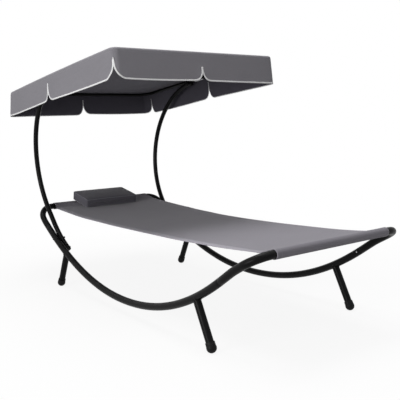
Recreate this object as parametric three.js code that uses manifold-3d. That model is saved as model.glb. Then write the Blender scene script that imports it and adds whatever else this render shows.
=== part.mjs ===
import * as THREE from 'three';
import { mergeVertices } from 'three/addons/utils/BufferGeometryUtils.js';
import Module from 'manifold-3d';

const wasm = await Module();
wasm.setup();

// A sun lounger: a sling seat hung between the ends of a curved tube frame, a pillow,
// and a canopy that tilts on two C-shaped poles.
// Millimetres, +Z up, +X towards the foot end, +Y to the left of a person lying on it.

// Frame of the seat
const frameLength = 1962;
const railSpacing = 863;
const endTubeHeight = 437;
const railLowHeight = 70;
const frameTubeDiameter = 35;
const frameTubeWall = 1.5;
const endBendRadius = 85;
const headJointReach = 850;
const headJointHeight = 330;
const headJointAngle = THREE.MathUtils.degToRad(31.5);
const headKneeReach = 905;
const headKneeRadius = 150;
const footJointReach = 772;
const footJointHeight = 310;
const footJointAngle = THREE.MathUtils.degToRad(34.6);
const footKneeReach = 850;
const footKneeRadius = 400;

// Joints between the side rails and the end tubes
const joinerHalfLength = 44;
const joinerWall = 1.5;
const jointScrewSetback = 18;
const screwHeadDiameter = 8;
const screwHeadHeight = 2.4;
const screwShankDiameter = 4;
const screwShankLength = 5;

// Legs and ball feet
const headFootReach = 712;
const footFootReach = 705;
const legSlant = THREE.MathUtils.degToRad(26.6);
const legTubeDiameter = 35;
const legTubeWall = 1.5;
const footBallDiameter = 44;
const footFlatDepth = 0.5;
const footCollarDiameter = 41;
const footCollarHeight = 24;
const footSocketFloor = 6;

// Sling
const slingThickness = 2;
const slingSag = 35;
const slingSleeveWidth = 670;
const slingHeadWidth = 696;
const slingMiddleWidth = 642;
const slingFootWidth = 650;

// Pillow
const pillowLength = 196;
const pillowWidth = 357;
const pillowEdgeThickness = 50;
const pillowTopCrown = 12;
const pillowBottomCrown = 7;
const pillowSidePull = 7;
const pillowCornerCut = 5;
const pillowFootReach = 815;
const pillowSideShift = 16;

// Canopy poles
const poleTubeDiameter = 28;
const poleTubeWall = 1.2;
const poleEndReach = 670;
const poleEndRise = -11;
const poleEndSpread = THREE.MathUtils.degToRad(4);
const poleEndInset = 32.4;
const poleRailGap = 1.8;
const poleEndHandle = 150;
const poleArcHandle = 80;
const poleArcRadius = 473;
const poleArcReach = 508;
const poleArcHeight = 711;
const poleArcStart = THREE.MathUtils.degToRad(218.7);
const poleTail = 18;
const poleCapThickness = 3;
const poleCapPlug = 4;

// Bolts of the poles and of the canopy's pivots
const lowerBoltSetback = 22;
const boltSpacing = 78;
const boltDiameter = 6;
const boltHeadDiameter = 11;
const boltHeadHeight = 3.5;
const boltReach = 6;
const nutDiameter = 11;
const nutHeight = 9;
const nutDome = 3;
const spacerDiameter = 20;

// Canopy
const canopyLength = 1283;
const canopyWidth = 992;
const canopyHeadReach = 574.5;
const canopyTilt = THREE.MathUtils.degToRad(6.13);
const pivotReach = 597;
const roofRise = 27;
const clothThickness = 2;
const clothFold = 6;
const clothCornerRadius = 30;
const valanceDepth = 140;
const valanceBelly = 6;
const valanceFlare = 3;
const notchTop = 46;
const notchHalfWidth = 60;
const notchRoundness = 2.5;
const sideNotchShift = 77;
const endNotchShift = 13;
const canopyTubeDiameter = 19;
const canopyTubeWall = 1.2;
const canopyBendRadius = 90;

// Pivots of the canopy
const pivotPlateThickness = 2.5;
const pivotPlateHalfWidth = 17;
const pivotPlateBelow = 12;
const pivotPlateCorner = 6;
const knobRadius = 17;
const knobLobeDepth = 3;
const knobLobes = 6;
const knobThickness = 13;
const knobHubRadius = 9;
const knobHubLength = 7;
const knobBoltDepth = 12;

// Fits and cutting
const seatGap = 0.3;
const cutOverrun = 5;
const weldTolerance = 0.0005;

// Fineness
const tubeSides = 12;
const thinTubeSides = 10;
const boreSides = 8;
const smallSides = 8;
const sleeveSides = 16;
const searchRounds = 16;
const bendStep = THREE.MathUtils.degToRad(15);
const railHalfSteps = 12;
const poleLowerSteps = 6;
const poleUpperSteps = 14;
const ballRounds = 6;
const slingSteps = 20;
const clothStep = 110;
const clothWeldStep = 4;

const frameTubeRadius = frameTubeDiameter / 2;
const poleTubeRadius = poleTubeDiameter / 2;
const canopyTubeRadius = canopyTubeDiameter / 2;
const boltRadius = boltDiameter / 2;
const boltHeadRadius = boltHeadDiameter / 2;
const halfLength = frameLength / 2;
const railSide = railSpacing / 2;

function paint(color, roughness, metalness) {
  return new THREE.MeshStandardMaterial({ color, roughness, metalness });
}

const blackPaint = paint('#1b1b1c', 0.38, 0.45);
const blackPlastic = paint('#161617', 0.6, 0);
const zincSteel = paint('#6f6f72', 0.4, 0.9);
const slingFabric = paint('#76747a', 0.9, 0);
const pillowFabric = paint('#48464b', 0.95, 0);
const canopyFabric = paint('#75737a', 0.9, 0);

function piece(name, geometry, material) {
  const mesh = new THREE.Mesh(geometry, material);
  mesh.name = name;
  return mesh;
}

function sideName(name, side) {
  return `${name}_${side > 0 ? 'left' : 'right'}`;
}

// Turns an object so that its own Z lies along a direction.
function aim(object, direction) {
  object.quaternion.setFromUnitVectors(new THREE.Vector3(0, 0, 1), direction);
}

// Solids for cutting and joining

function solidOf(mesh, frame) {
  mesh.updateWorldMatrix(true, false);
  const bare = mesh.geometry.clone();
  bare.deleteAttribute('normal');
  bare.deleteAttribute('uv');
  bare.applyMatrix4(frame.clone().invert().multiply(mesh.matrixWorld));
  const welded = mergeVertices(bare, weldTolerance);
  return new wasm.Manifold(new wasm.Mesh({
    numProp: 3,
    vertProperties: welded.attributes.position.array,
    triVerts: Uint32Array.from(welded.index.array),
  }));
}

function geometryOf(solid) {
  const { vertProperties, triVerts } = solid.getMesh();
  const geometry = new THREE.BufferGeometry();
  geometry.setAttribute('position', new THREE.BufferAttribute(vertProperties, 3));
  geometry.setIndex(new THREE.BufferAttribute(triVerts, 1));
  geometry.computeVertexNormals();
  return geometry;
}

function cut(mesh, ...tools) {
  mesh.updateWorldMatrix(true, false);
  const frame = mesh.matrixWorld;
  const solid = tools.reduce((rest, tool) => rest.subtract(solidOf(tool, frame)), solidOf(mesh, frame));
  mesh.geometry = geometryOf(solid);
}

// Paths

// Runs of a path laid end to end, each with its own number of steps.
class SteppedPath extends THREE.Curve {
  constructor(runs) {
    super();
    this.runs = runs;
    this.steps = runs.reduce((sum, run) => sum + run.steps, 0);
  }

  getUtoTmapping(share) {
    return share;
  }

  getPoint(share, target = new THREE.Vector3()) {
    let place = share * this.steps;
    let index = 0;
    while (index < this.runs.length - 1 && place > this.runs[index].steps) {
      place -= this.runs[index].steps;
      index += 1;
    }
    const run = this.runs[index];
    return run.curve.getPoint(place / run.steps, target);
  }
}

// A curve followed backwards.
class Reversed extends THREE.Curve {
  constructor(curve) {
    super();
    this.curve = curve;
  }

  getPoint(share, target = new THREE.Vector3()) {
    return this.curve.getPoint(1 - share, target);
  }
}

// A round bend that starts along one direction and turns to another.
class Bend extends THREE.Curve {
  constructor(start, incoming, outgoing, radius) {
    super();
    this.start = start;
    this.incoming = incoming;
    this.radius = radius;
    this.turn = incoming.angleTo(outgoing);
    this.inward = outgoing.clone().addScaledVector(incoming, -Math.cos(this.turn)).normalize();
  }

  getPoint(share, target = new THREE.Vector3()) {
    const angle = this.turn * share;
    return target.copy(this.start)
      .addScaledVector(this.incoming, this.radius * Math.sin(angle))
      .addScaledVector(this.inward, this.radius * (1 - Math.cos(angle)));
  }
}

// A flat curve, its points (x, z), stood up in the leaning plane of one pole.
class LeaningCurve extends THREE.Curve {
  constructor(flat, side) {
    super();
    this.flat = flat;
    this.side = side;
  }

  getPoint(share, target = new THREE.Vector3()) {
    const point = this.flat.getPoint(share);
    return target.set(point.x, this.side * poleOffset(point.y), point.y);
  }
}

// Straight runs between corners, with a round bend of its own radius at each corner.
function bentRuns(corners, radii) {
  const runs = [];
  let from = corners[0];
  radii.forEach((radius, index) => {
    const corner = corners[index + 1];
    const incoming = corner.clone().sub(corners[index]).normalize();
    const outgoing = corners[index + 2].clone().sub(corner).normalize();
    const bend = new Bend(corner.clone(), incoming, outgoing, radius);
    const trim = radius * Math.tan(bend.turn / 2);
    bend.start.addScaledVector(incoming, -trim);
    runs.push({ curve: new THREE.LineCurve3(from, bend.start), steps: 1 });
    runs.push({ curve: bend, steps: Math.max(1, Math.round(bend.turn / bendStep)) });
    from = corner.clone().addScaledVector(outgoing, trim);
  });
  runs.push({ curve: new THREE.LineCurve3(from, corners.at(-1)), steps: 1 });
  return runs;
}

function straightRuns(...points) {
  return points.slice(1).map((to, index) => ({ curve: new THREE.LineCurve3(points[index], to), steps: 1 }));
}

// Tubes, bars and turned pieces

// The corner radius of a ring of flats that stand at a radius.
function cornersOf(radius, sides) {
  return radius / Math.cos(Math.PI / sides);
}

function ringPoints(radius, sides) {
  return Array.from({ length: sides }, (_, index) => {
    const angle = 2 * Math.PI * (index + 0.5) / sides;
    return new THREE.Vector2(radius * Math.cos(angle), radius * Math.sin(angle));
  });
}

function swept(section, runs) {
  const path = new SteppedPath(runs);
  return new THREE.ExtrudeGeometry(section, { extrudePath: path, steps: path.steps, bevelEnabled: false });
}

function tube(runs, radius, wall, sides) {
  const section = new THREE.Shape(ringPoints(radius, sides));
  section.holes.push(new THREE.Path(ringPoints(radius - wall, boreSides)));
  return swept(section, runs);
}

function bar(runs, radius, sides) {
  return new THREE.Mesh(swept(new THREE.Shape(ringPoints(radius, sides)), runs));
}

// A solid of revolution about Z from points (radius, height), listed upwards round the outside.
function turned(profile, sides = smallSides) {
  const points = profile.map(([radius, height]) => new THREE.Vector2(radius, height));
  return new THREE.LatheGeometry(points, sides).rotateX(Math.PI / 2);
}

// A round tool whose flats stand at a radius from the line between two points.
function drill(radius, from, to) {
  const corner = cornersOf(radius, smallSides);
  const mesh = new THREE.Mesh(new THREE.CylinderGeometry(corner, corner, from.distanceTo(to), smallSides));
  mesh.geometry.rotateX(Math.PI / 2);
  mesh.position.copy(from).lerp(to, 0.5);
  aim(mesh, to.clone().sub(from).normalize());
  return mesh;
}

// Side rails and end tubes

const headEnd = {
  name: 'head',
  direction: -1,
  jointReach: headJointReach,
  jointHeight: headJointHeight,
  jointAngle: headJointAngle,
  kneeReach: headKneeReach,
  kneeRadius: headKneeRadius,
  footReach: headFootReach,
};

const footEnd = {
  name: 'foot',
  direction: 1,
  jointReach: footJointReach,
  jointHeight: footJointHeight,
  jointAngle: footJointAngle,
  kneeReach: footKneeReach,
  kneeRadius: footKneeRadius,
  footReach: footFootReach,
};

// Half of a side rail, from the frame's middle out to its joint, rising as a cubic of its reach.
function railHalf(end, side) {
  const third = end.jointReach / 3;
  const at = (reach, height) => new THREE.Vector3(end.direction * reach, side * railSide, height);
  return new THREE.CubicBezierCurve3(
    at(0, railLowHeight),
    at(third, railLowHeight),
    at(end.jointReach - third, end.jointHeight - third * Math.tan(end.jointAngle)),
    at(end.jointReach, end.jointHeight),
  );
}

function railPoint(end, side, reach) {
  return railHalf(end, side).getPoint(reach / end.jointReach);
}

function railTangent(end, side, reach) {
  return railHalf(end, side).getTangent(reach / end.jointReach);
}

// The direction in which a rail leaves its joint for the end tube.
function jointDirection(end) {
  return new THREE.Vector3(end.direction * Math.cos(end.jointAngle), 0, Math.sin(end.jointAngle));
}

function railRuns(side) {
  return [
    { curve: new Reversed(railHalf(headEnd, side)), steps: railHalfSteps },
    { curve: railHalf(footEnd, side), steps: railHalfSteps },
  ];
}

// The point where the straight lines of an end tube's short leg and of its rise to the corner meet.
function kneePoint(end, side) {
  const height = end.jointHeight + (end.kneeReach - end.jointReach) * Math.tan(end.jointAngle);
  return new THREE.Vector3(end.direction * end.kneeReach, side * railSide, height);
}

function sideRail(side) {
  const geometry = tube(railRuns(side), frameTubeRadius, frameTubeWall, tubeSides);
  return piece(sideName('side_rail', side), geometry, blackPaint);
}

function endTube(end) {
  const startOf = (side) => railHalf(end, side).getPoint(1).addScaledVector(jointDirection(end), seatGap);
  const cornerOf = (side) => new THREE.Vector3(end.direction * halfLength, side * railSide, endTubeHeight);
  const corners = [
    startOf(1),
    kneePoint(end, 1),
    cornerOf(1),
    cornerOf(-1),
    kneePoint(end, -1),
    startOf(-1),
  ];
  const runs = bentRuns(corners, [end.kneeRadius, endBendRadius, endBendRadius, end.kneeRadius]);
  return piece(`${end.name}_end_tube`, tube(runs, frameTubeRadius, frameTubeWall, tubeSides), blackPaint);
}

// A short tube inside the joint of a rail and an end tube.
function railJoiner(end, side) {
  const half = railHalf(end, side);
  const joint = half.getPoint(1);
  const back = half.getPoint(1 - 1 / railHalfSteps).sub(joint).setLength(joinerHalfLength);
  const onward = jointDirection(end).setLength(joinerHalfLength);
  const runs = straightRuns(joint.clone().add(back), joint, joint.clone().add(onward));
  const geometry = tube(runs, frameTubeRadius - frameTubeWall - seatGap, joinerWall, boreSides);
  return piece(sideName(`rail_joiner_${end.name}`, side), geometry, zincSteel);
}

// A pan-head screw through the inner side of a rail into its joiner; drills both.
function jointScrew(end, side, rail, joiner) {
  const headRadius = screwHeadDiameter / 2;
  const shankRadius = screwShankDiameter / 2;
  const screw = piece(sideName(`joint_screw_${end.name}`, side), turned([
    [0, -screwShankLength],
    [shankRadius, -screwShankLength],
    [shankRadius, 0],
    [headRadius, 0],
    [headRadius, screwHeadHeight / 2],
    [headRadius / 2, screwHeadHeight],
    [0, screwHeadHeight],
  ]), zincSteel);
  const inward = new THREE.Vector3(0, -side, 0);
  const reach = end.jointReach - jointScrewSetback * Math.cos(end.jointAngle);
  const axisPoint = railPoint(end, side, reach);
  const flat = frameTubeRadius * Math.cos(Math.PI / tubeSides);
  screw.position.copy(axisPoint).addScaledVector(inward, flat + seatGap);
  aim(screw, inward);
  const outside = screw.position.clone().addScaledVector(inward, cutOverrun);
  const hole = drill(shankRadius + seatGap, axisPoint, outside);
  cut(rail, hole);
  cut(joiner, hole);
  return screw;
}

// Legs and feet

function legDirection(end) {
  return new THREE.Vector3(-end.direction * Math.sin(legSlant), 0, Math.cos(legSlant));
}

function footCentre(end, side) {
  const height = footBallDiameter / 2 - footFlatDepth;
  return new THREE.Vector3(end.direction * end.footReach, side * railSide, height);
}

// The reach at which the axis of a leg meets the axis of its rail.
function legTopReach(end) {
  const centre = footCentre(end, 1);
  let reach = end.footReach;
  for (let round = 0; round < searchRounds; round += 1) {
    reach = end.footReach - (railPoint(end, 1, reach).z - centre.z) * Math.tan(legSlant);
  }
  return reach;
}

function leg(end, side) {
  const start = footCentre(end, side).addScaledVector(legDirection(end), footSocketFloor + seatGap);
  const runs = straightRuns(start, railPoint(end, side, legTopReach(end)));
  const geometry = tube(runs, legTubeDiameter / 2, legTubeWall, tubeSides);
  const mesh = piece(sideName(`leg_${end.name}`, side), geometry, blackPaint);
  cut(mesh, bar(railRuns(side), frameTubeRadius + seatGap, tubeSides));
  return mesh;
}

function ballFoot(end, side) {
  const ball = footBallDiameter / 2;
  const collar = footCollarDiameter / 2;
  const socket = cornersOf(legTubeDiameter / 2 + seatGap, tubeSides);
  const meet = Math.acos(collar / ball);
  const profile = Array.from({ length: ballRounds + 1 }, (_, index) => {
    const angle = THREE.MathUtils.lerp(-Math.PI / 2, meet, index / ballRounds);
    return [index === 0 ? 0 : ball * Math.cos(angle), ball * Math.sin(angle)];
  });
  profile.push(
    [collar, footCollarHeight],
    [socket, footCollarHeight],
    [socket, footSocketFloor],
    [0, footSocketFloor],
  );
  const foot = piece(sideName(`ball_foot_${end.name}`, side), turned(profile, tubeSides), blackPlastic);
  foot.position.copy(footCentre(end, side));
  aim(foot, legDirection(end));
  const floor = new THREE.Mesh(new THREE.BoxGeometry(footBallDiameter, footBallDiameter, footBallDiameter));
  floor.position.copy(foot.position).setZ(-ball);
  cut(foot, floor);
  return foot;
}

// Sling

const sleeveBore = cornersOf(frameTubeRadius + seatGap, sleeveSides);
const sleeveRadius = sleeveBore + slingThickness;
const sleeveExit = Math.asin(slingThickness / 2 / sleeveRadius);
const slingReach = halfLength - sleeveRadius * Math.cos(sleeveExit);

// Widths of the sling at places given as shares of the frame's half length.
const slingWidthShares = [
  [-1.05, slingSleeveWidth],
  [-0.978, slingSleeveWidth],
  [-0.925, slingHeadWidth],
  [-0.7, slingHeadWidth],
  [0.02, slingMiddleWidth],
  [0.4, slingFootWidth],
  [0.85, slingFootWidth],
  [0.978, slingSleeveWidth],
  [1.05, slingSleeveWidth],
];

function slingWidth(x) {
  const share = x / halfLength;
  const next = slingWidthShares.findIndex(([place]) => share < place);
  const [fromPlace, fromWidth] = slingWidthShares[next - 1];
  const [toPlace, toWidth] = slingWidthShares[next];
  return THREE.MathUtils.lerp(fromWidth, toWidth, THREE.MathUtils.smoothstep(share, fromPlace, toPlace));
}

// The height of the sling's middle surface above the floor, at a reach from the frame's middle.
function slingHeight(reach) {
  const share = reach / slingReach;
  return endTubeHeight - slingSag * (1 - share * share);
}

// The points of a sleeve round a cross tube, anticlockwise from one angle to another.
function sleeveArc(x, from, to) {
  return Array.from({ length: sleeveSides + 1 }, (_, index) => {
    const angle = THREE.MathUtils.lerp(from, to, index / sleeveSides);
    return new THREE.Vector2(Math.cos(angle), Math.sin(angle))
      .multiplyScalar(sleeveRadius).add(new THREE.Vector2(x, endTubeHeight));
  });
}

// The points between the sleeves of one face of the sling, from one reach to the opposite one.
function slingFace(fromReach, offset) {
  return Array.from({ length: slingSteps - 1 }, (_, index) => {
    const x = THREE.MathUtils.lerp(fromReach, -fromReach, (index + 1) / slingSteps);
    return new THREE.Vector2(x, slingHeight(x) + offset);
  });
}

function sling() {
  const full = 2 * Math.PI;
  const outline = new THREE.Shape([
    ...sleeveArc(-halfLength, sleeveExit, full - sleeveExit),
    ...slingFace(-slingReach, -slingThickness / 2),
    ...sleeveArc(halfLength, Math.PI + sleeveExit, full + Math.PI - sleeveExit),
    ...slingFace(slingReach, slingThickness / 2),
  ]);
  for (const x of [-halfLength, halfLength]) {
    const centre = new THREE.Vector2(x, endTubeHeight);
    const bore = ringPoints(sleeveBore, sleeveSides).map((point) => point.add(centre));
    outline.holes.push(new THREE.Path(bore));
  }
  const depth = slingSleeveWidth;
  const geometry = new THREE.ExtrudeGeometry(outline, { depth, steps: 2, bevelEnabled: false });
  geometry.translate(0, 0, -slingSleeveWidth / 2).rotateX(Math.PI / 2);
  const position = geometry.attributes.position;
  for (let index = 0; index < position.count; index += 1) {
    position.setY(index, position.getY(index) * slingWidth(position.getX(index)) / slingSleeveWidth);
  }
  geometry.computeVertexNormals();
  return piece('sling', geometry, slingFabric);
}

// Pillow

// A crowned cushion: sides drawn in between its corners, a domed top and a shallower bottom.
function cushionGeometry() {
  const geometry = new THREE.BoxGeometry(pillowLength, pillowWidth, pillowEdgeThickness, 8, 12, 2);
  const position = geometry.attributes.position;
  for (let index = 0; index < position.count; index += 1) {
    const along = position.getX(index) / (pillowLength / 2);
    const across = position.getY(index) / (pillowWidth / 2);
    const up = position.getZ(index) / (pillowEdgeThickness / 2);
    const alongDome = 1 - along * along;
    const acrossDome = 1 - across * across;
    const corner = pillowCornerCut * (along * across) ** 12;
    const pull = pillowSidePull * (1 - up * up / 2);
    const dome = alongDome * acrossDome;
    const crown = up > 0 ? pillowTopCrown * Math.sqrt(dome) : pillowBottomCrown * dome;
    position.setXYZ(
      index,
      along * (pillowLength / 2 - pull * acrossDome - corner),
      across * (pillowWidth / 2 - pull * alongDome - corner),
      up * (pillowEdgeThickness / 2 + crown),
    );
  }
  geometry.computeVertexNormals();
  return geometry;
}

// The pillow lies with its foot edge on the sling and its crown on the head sleeve.
function pillow() {
  const low = slingHeight(pillowFootReach) + slingThickness / 2 + seatGap;
  const footEdge = new THREE.Vector3(-pillowFootReach, -pillowSideShift, low);
  const toSleeve = new THREE.Vector2(halfLength - pillowFootReach, endTubeHeight - low);
  const along = 2 * toSleeve.length() / pillowLength - 1;
  const crown = pillowBottomCrown * (1 - along * along);
  const slope = toSleeve.angle() + Math.asin((sleeveRadius + seatGap + crown) / toSleeve.length());
  const mesh = piece('pillow', cushionGeometry(), pillowFabric);
  mesh.rotation.y = slope;
  const middle = new THREE.Vector3(-pillowLength / 2, 0, pillowEdgeThickness / 2);
  mesh.position.copy(footEdge).add(middle.applyEuler(mesh.rotation));
  return mesh;
}

// Canopy poles

const roofTubeInset = clothThickness + seatGap + canopyTubeRadius;
const canopyTubeOffset = canopyWidth / 2 - roofTubeInset;
const plateOuterFace = canopyTubeOffset - canopyTubeRadius - seatGap;
const poleTopOffset = plateOuterFace - pivotPlateThickness - seatGap - poleTubeRadius;
const poleBottomHeight = railPoint(headEnd, 1, poleEndReach).z + poleEndRise;
const pivotRise = Math.sqrt(poleArcRadius ** 2 - (pivotReach - poleArcReach) ** 2);
const pivotHeight = poleArcHeight + pivotRise;
const upperBoltSetback = lowerBoltSetback + boltSpacing;
const poleBottomOffset = Math.min(railSide - poleEndInset, offsetClearOfUpperBolt());

// How far out the lower end of a leaning pole may stand for the tubes to keep their gap at the upper bolt.
function offsetClearOfUpperBolt() {
  const run = poleLowerRun();
  const onPole = run.getPointAt(upperBoltSetback / run.getLength());
  const { onRail } = nearestOnRail(new THREE.Vector3(onPole.x, railSide, onPole.y), 1);
  const rise = onRail.distanceTo(new THREE.Vector3(onPole.x, railSide, onPole.y));
  const spacing = Math.max(rise, frameTubeRadius + poleTubeRadius + poleRailGap);
  const offset = railSide - Math.sqrt(spacing ** 2 - rise ** 2);
  const leanShare = (onPole.y - poleBottomHeight) / (pivotHeight - onPole.y);
  return offset - (poleTopOffset - offset) * leanShare;
}

// The distance of a pole's axis from the middle plane, at a height.
function poleOffset(height) {
  const share = (height - poleBottomHeight) / (pivotHeight - poleBottomHeight);
  return THREE.MathUtils.lerp(poleBottomOffset, poleTopOffset, share);
}

// The lower run of a pole, from its end beside the rail up to the start of the big arc.
function poleLowerRun() {
  const alongRail = railTangent(headEnd, 1, poleEndReach);
  const angle = Math.atan2(alongRail.z, -alongRail.x) + poleEndSpread;
  const end = new THREE.Vector2(-poleEndReach, poleBottomHeight);
  const arcStart = new THREE.Vector2(Math.cos(poleArcStart), Math.sin(poleArcStart))
    .multiplyScalar(poleArcRadius).add(new THREE.Vector2(-poleArcReach, poleArcHeight));
  const away = new THREE.Vector2(-Math.cos(angle), Math.sin(angle)).multiplyScalar(poleEndHandle);
  const back = new THREE.Vector2(-Math.sin(poleArcStart), Math.cos(poleArcStart))
    .multiplyScalar(poleArcHandle);
  return new THREE.CubicBezierCurve(end, end.clone().add(away), arcStart.clone().add(back), arcStart);
}

function poleUpperRun() {
  const finish = Math.PI - Math.asin(pivotRise / poleArcRadius) - poleTail / poleArcRadius;
  const [x, z, radius] = [-poleArcReach, poleArcHeight, poleArcRadius];
  return new THREE.EllipseCurve(x, z, radius, radius, poleArcStart, finish, true);
}

function poleRuns(side) {
  return [
    { curve: new LeaningCurve(poleLowerRun(), side), steps: poleLowerSteps },
    { curve: new LeaningCurve(poleUpperRun(), side), steps: poleUpperSteps },
  ];
}

function canopyPole(side) {
  const geometry = tube(poleRuns(side), poleTubeRadius, poleTubeWall, thinTubeSides);
  return piece(sideName('canopy_pole', side), geometry, blackPaint);
}

// A domed plug in an open end of a pole.
function poleCap(name, side, place, outward) {
  const plugRadius = (poleTubeRadius - poleTubeWall) * Math.cos(Math.PI / boreSides) - seatGap;
  const cap = piece(sideName(name, side), turned([
    [0, -poleCapPlug],
    [plugRadius, -poleCapPlug],
    [plugRadius, seatGap],
    [poleTubeRadius, seatGap],
    [poleTubeRadius, seatGap + poleCapThickness / 2],
    [poleTubeRadius * Math.SQRT1_2, seatGap + poleCapThickness],
    [0, seatGap + poleCapThickness],
  ]), blackPlastic);
  cap.position.copy(place);
  aim(cap, outward);
  return cap;
}

function poleCaps(side) {
  const lower = new LeaningCurve(poleLowerRun(), side);
  const upper = new LeaningCurve(poleUpperRun(), side);
  return [
    poleCap('pole_cap_lower', side, lower.getPoint(0), lower.getTangent(0).negate()),
    poleCap('pole_cap_upper', side, upper.getPoint(1), upper.getTangent(1)),
  ];
}

// Bolts between poles and rails

// The point of a rail's axis that is nearest to a point on a pole.
function nearestOnRail(onPole, side) {
  let reach = -onPole.x;
  for (let round = 0; round < searchRounds; round += 1) {
    const tangent = railTangent(headEnd, side, reach);
    const miss = onPole.clone().sub(railPoint(headEnd, side, reach)).dot(tangent);
    reach -= miss * tangent.x;
  }
  return { onPole, onRail: railPoint(headEnd, side, reach) };
}

// Where a bolt crosses the axes of the pole and of the rail.
function boltPlace(side, setback) {
  const lower = new LeaningCurve(poleLowerRun(), side);
  return nearestOnRail(lower.getPointAt(setback / lower.getLength()), side);
}

function boltProfile(length) {
  return [
    [0, -boltHeadHeight],
    [boltHeadRadius / 2, -boltHeadHeight],
    [boltHeadRadius, -boltHeadHeight / 2],
    [boltHeadRadius, 0],
    [boltRadius, 0],
    [boltRadius, length],
    [0, length],
  ];
}

// A bolt from below the rail, a saddle spacer between the tubes and a cap nut on the pole;
// its own Z runs from the rail's axis to the pole's. Drills the tubes that the bolt passes.
function poleFixing(level, setback, side, pole, { rail, joiner, leg: post }) {
  const { onPole, onRail } = boltPlace(side, setback);
  const spacing = onPole.distanceTo(onRail);
  const head = -frameTubeRadius - seatGap;
  const nutFoot = spacing + poleTubeRadius + seatGap;
  const tip = nutFoot + boltReach;
  const hole = boltRadius + seatGap;
  const thread = cornersOf(hole, smallSides);
  const nutRadius = nutDiameter / 2;

  const bolt = piece(sideName(`pole_bolt_${level}`, side), turned(boltProfile(tip - head)), zincSteel);
  bolt.position.z = head;

  const nut = piece(sideName(`pole_nut_${level}`, side), turned([
    [0, tip + seatGap],
    [thread, tip + seatGap],
    [thread, nutFoot],
    [nutRadius, nutFoot],
    [nutRadius, nutFoot + nutHeight - nutDome],
    [nutRadius * Math.SQRT1_2, nutFoot + nutHeight],
    [0, nutFoot + nutHeight],
  ]), zincSteel);

  const spacer = piece(sideName(`pole_spacer_${level}`, side), turned([
    [0, 0],
    [spacerDiameter / 2, 0],
    [spacerDiameter / 2, spacing],
    [0, spacing],
  ]), blackPlastic);

  const fixing = new THREE.Group();
  fixing.add(bolt, nut, spacer);
  fixing.position.copy(onRail);
  aim(fixing, onPole.clone().sub(onRail).normalize());
  fixing.updateWorldMatrix(true, true);

  const onAxis = (height) => fixing.localToWorld(new THREE.Vector3(0, 0, height));
  const bore = drill(hole, onAxis(head - cutOverrun), onAxis(tip + cutOverrun));
  const belowHead = onAxis(head - boltHeadHeight - cutOverrun);
  const headRoom = drill(boltHeadRadius + seatGap, belowHead, onAxis(head));
  const toKnee = straightRuns(kneePoint(headEnd, side), railHalf(headEnd, side).getPoint(1));
  cut(
    spacer,
    bore,
    bar([...toKnee, ...railRuns(side)], frameTubeRadius + seatGap, tubeSides),
    bar(poleRuns(side), poleTubeRadius + seatGap, thinTubeSides),
  );
  cut(rail, bore);
  cut(joiner, bore);
  cut(post, bore, headRoom);
  cut(pole, bore);
  return fixing;
}

// Canopy frame, about its pivot axis with its roof level

const canopyFootReach = canopyLength - canopyHeadReach;
const canopyMiddle = (canopyFootReach - canopyHeadReach) / 2;
const roofTubeHeight = roofRise - roofTubeInset;

function canopyTube(end) {
  const at = (x, side) => new THREE.Vector3(x, side * canopyTubeOffset, roofTubeHeight);
  const start = canopyMiddle + end.direction * seatGap / 2;
  const finish = canopyMiddle + end.direction * (canopyLength / 2 - roofTubeInset);
  const corners = [at(start, 1), at(finish, 1), at(finish, -1), at(start, -1)];
  const runs = bentRuns(corners, [canopyBendRadius, canopyBendRadius]);
  const geometry = tube(runs, canopyTubeRadius, canopyTubeWall, thinTubeSides);
  return piece(`canopy_${end.name}_tube`, geometry, blackPaint);
}

function canopyJoiner(side) {
  const at = (x) => new THREE.Vector3(x, side * canopyTubeOffset, roofTubeHeight);
  const runs = straightRuns(at(canopyMiddle - joinerHalfLength), at(canopyMiddle + joinerHalfLength));
  const radius = canopyTubeRadius - canopyTubeWall - seatGap;
  return piece(sideName('canopy_joiner', side), tube(runs, radius, canopyTubeWall, boreSides), zincSteel);
}

// A rounded plate on the inner side of a canopy tube, with the pivot's hole through it.
function pivotPlate(side) {
  const top = roofTubeHeight + canopyTubeRadius / 2;
  const [half, corner] = [pivotPlateHalfWidth, pivotPlateCorner];
  const low = corner - pivotPlateBelow;
  const shape = new THREE.Shape();
  shape.moveTo(-half, top);
  shape.absarc(corner - half, low, corner, Math.PI, 1.5 * Math.PI, false);
  shape.absarc(half - corner, low, corner, 1.5 * Math.PI, 2 * Math.PI, false);
  shape.lineTo(half, top);
  shape.holes.push(new THREE.Path(ringPoints(cornersOf(boltRadius + seatGap, smallSides), smallSides)));
  const geometry = new THREE.ExtrudeGeometry(shape, {
    depth: pivotPlateThickness,
    curveSegments: 3,
    bevelEnabled: false,
  });
  geometry.rotateX(Math.PI / 2);
  const plate = piece(sideName('pivot_plate', side), geometry, blackPaint);
  plate.position.y = side > 0 ? plateOuterFace : pivotPlateThickness - plateOuterFace;
  return plate;
}

// Distances from the middle plane of a knob's foot and of the tip of its bolt.
const knobFoot = poleTopOffset - poleTubeRadius - seatGap;
const tiltBoltTip = knobFoot - knobBoltDepth;

// The bolt of a pivot, its head outside the plate and its tip in the knob; drills the pole.
function tiltBolt(side, pole) {
  const inward = new THREE.Vector3(0, -side, 0);
  const head = plateOuterFace + seatGap;
  const bolt = piece(sideName('tilt_bolt', side), turned(boltProfile(head - tiltBoltTip)), zincSteel);
  bolt.position.y = side * head;
  aim(bolt, inward);
  const at = (offset) => new THREE.Vector3(-pivotReach, side * offset, pivotHeight);
  cut(pole, drill(boltRadius + seatGap, at(head), at(tiltBoltTip)));
  return bolt;
}

function knobOutline() {
  const steps = knobLobes * 4;
  return new THREE.Shape(Array.from({ length: steps }, (_, index) => {
    const angle = 2 * Math.PI * index / steps;
    const radius = knobRadius - knobLobeDepth * (1 - Math.cos(knobLobes * angle)) / 2;
    return new THREE.Vector2(radius * Math.cos(angle), radius * Math.sin(angle));
  }));
}

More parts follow.
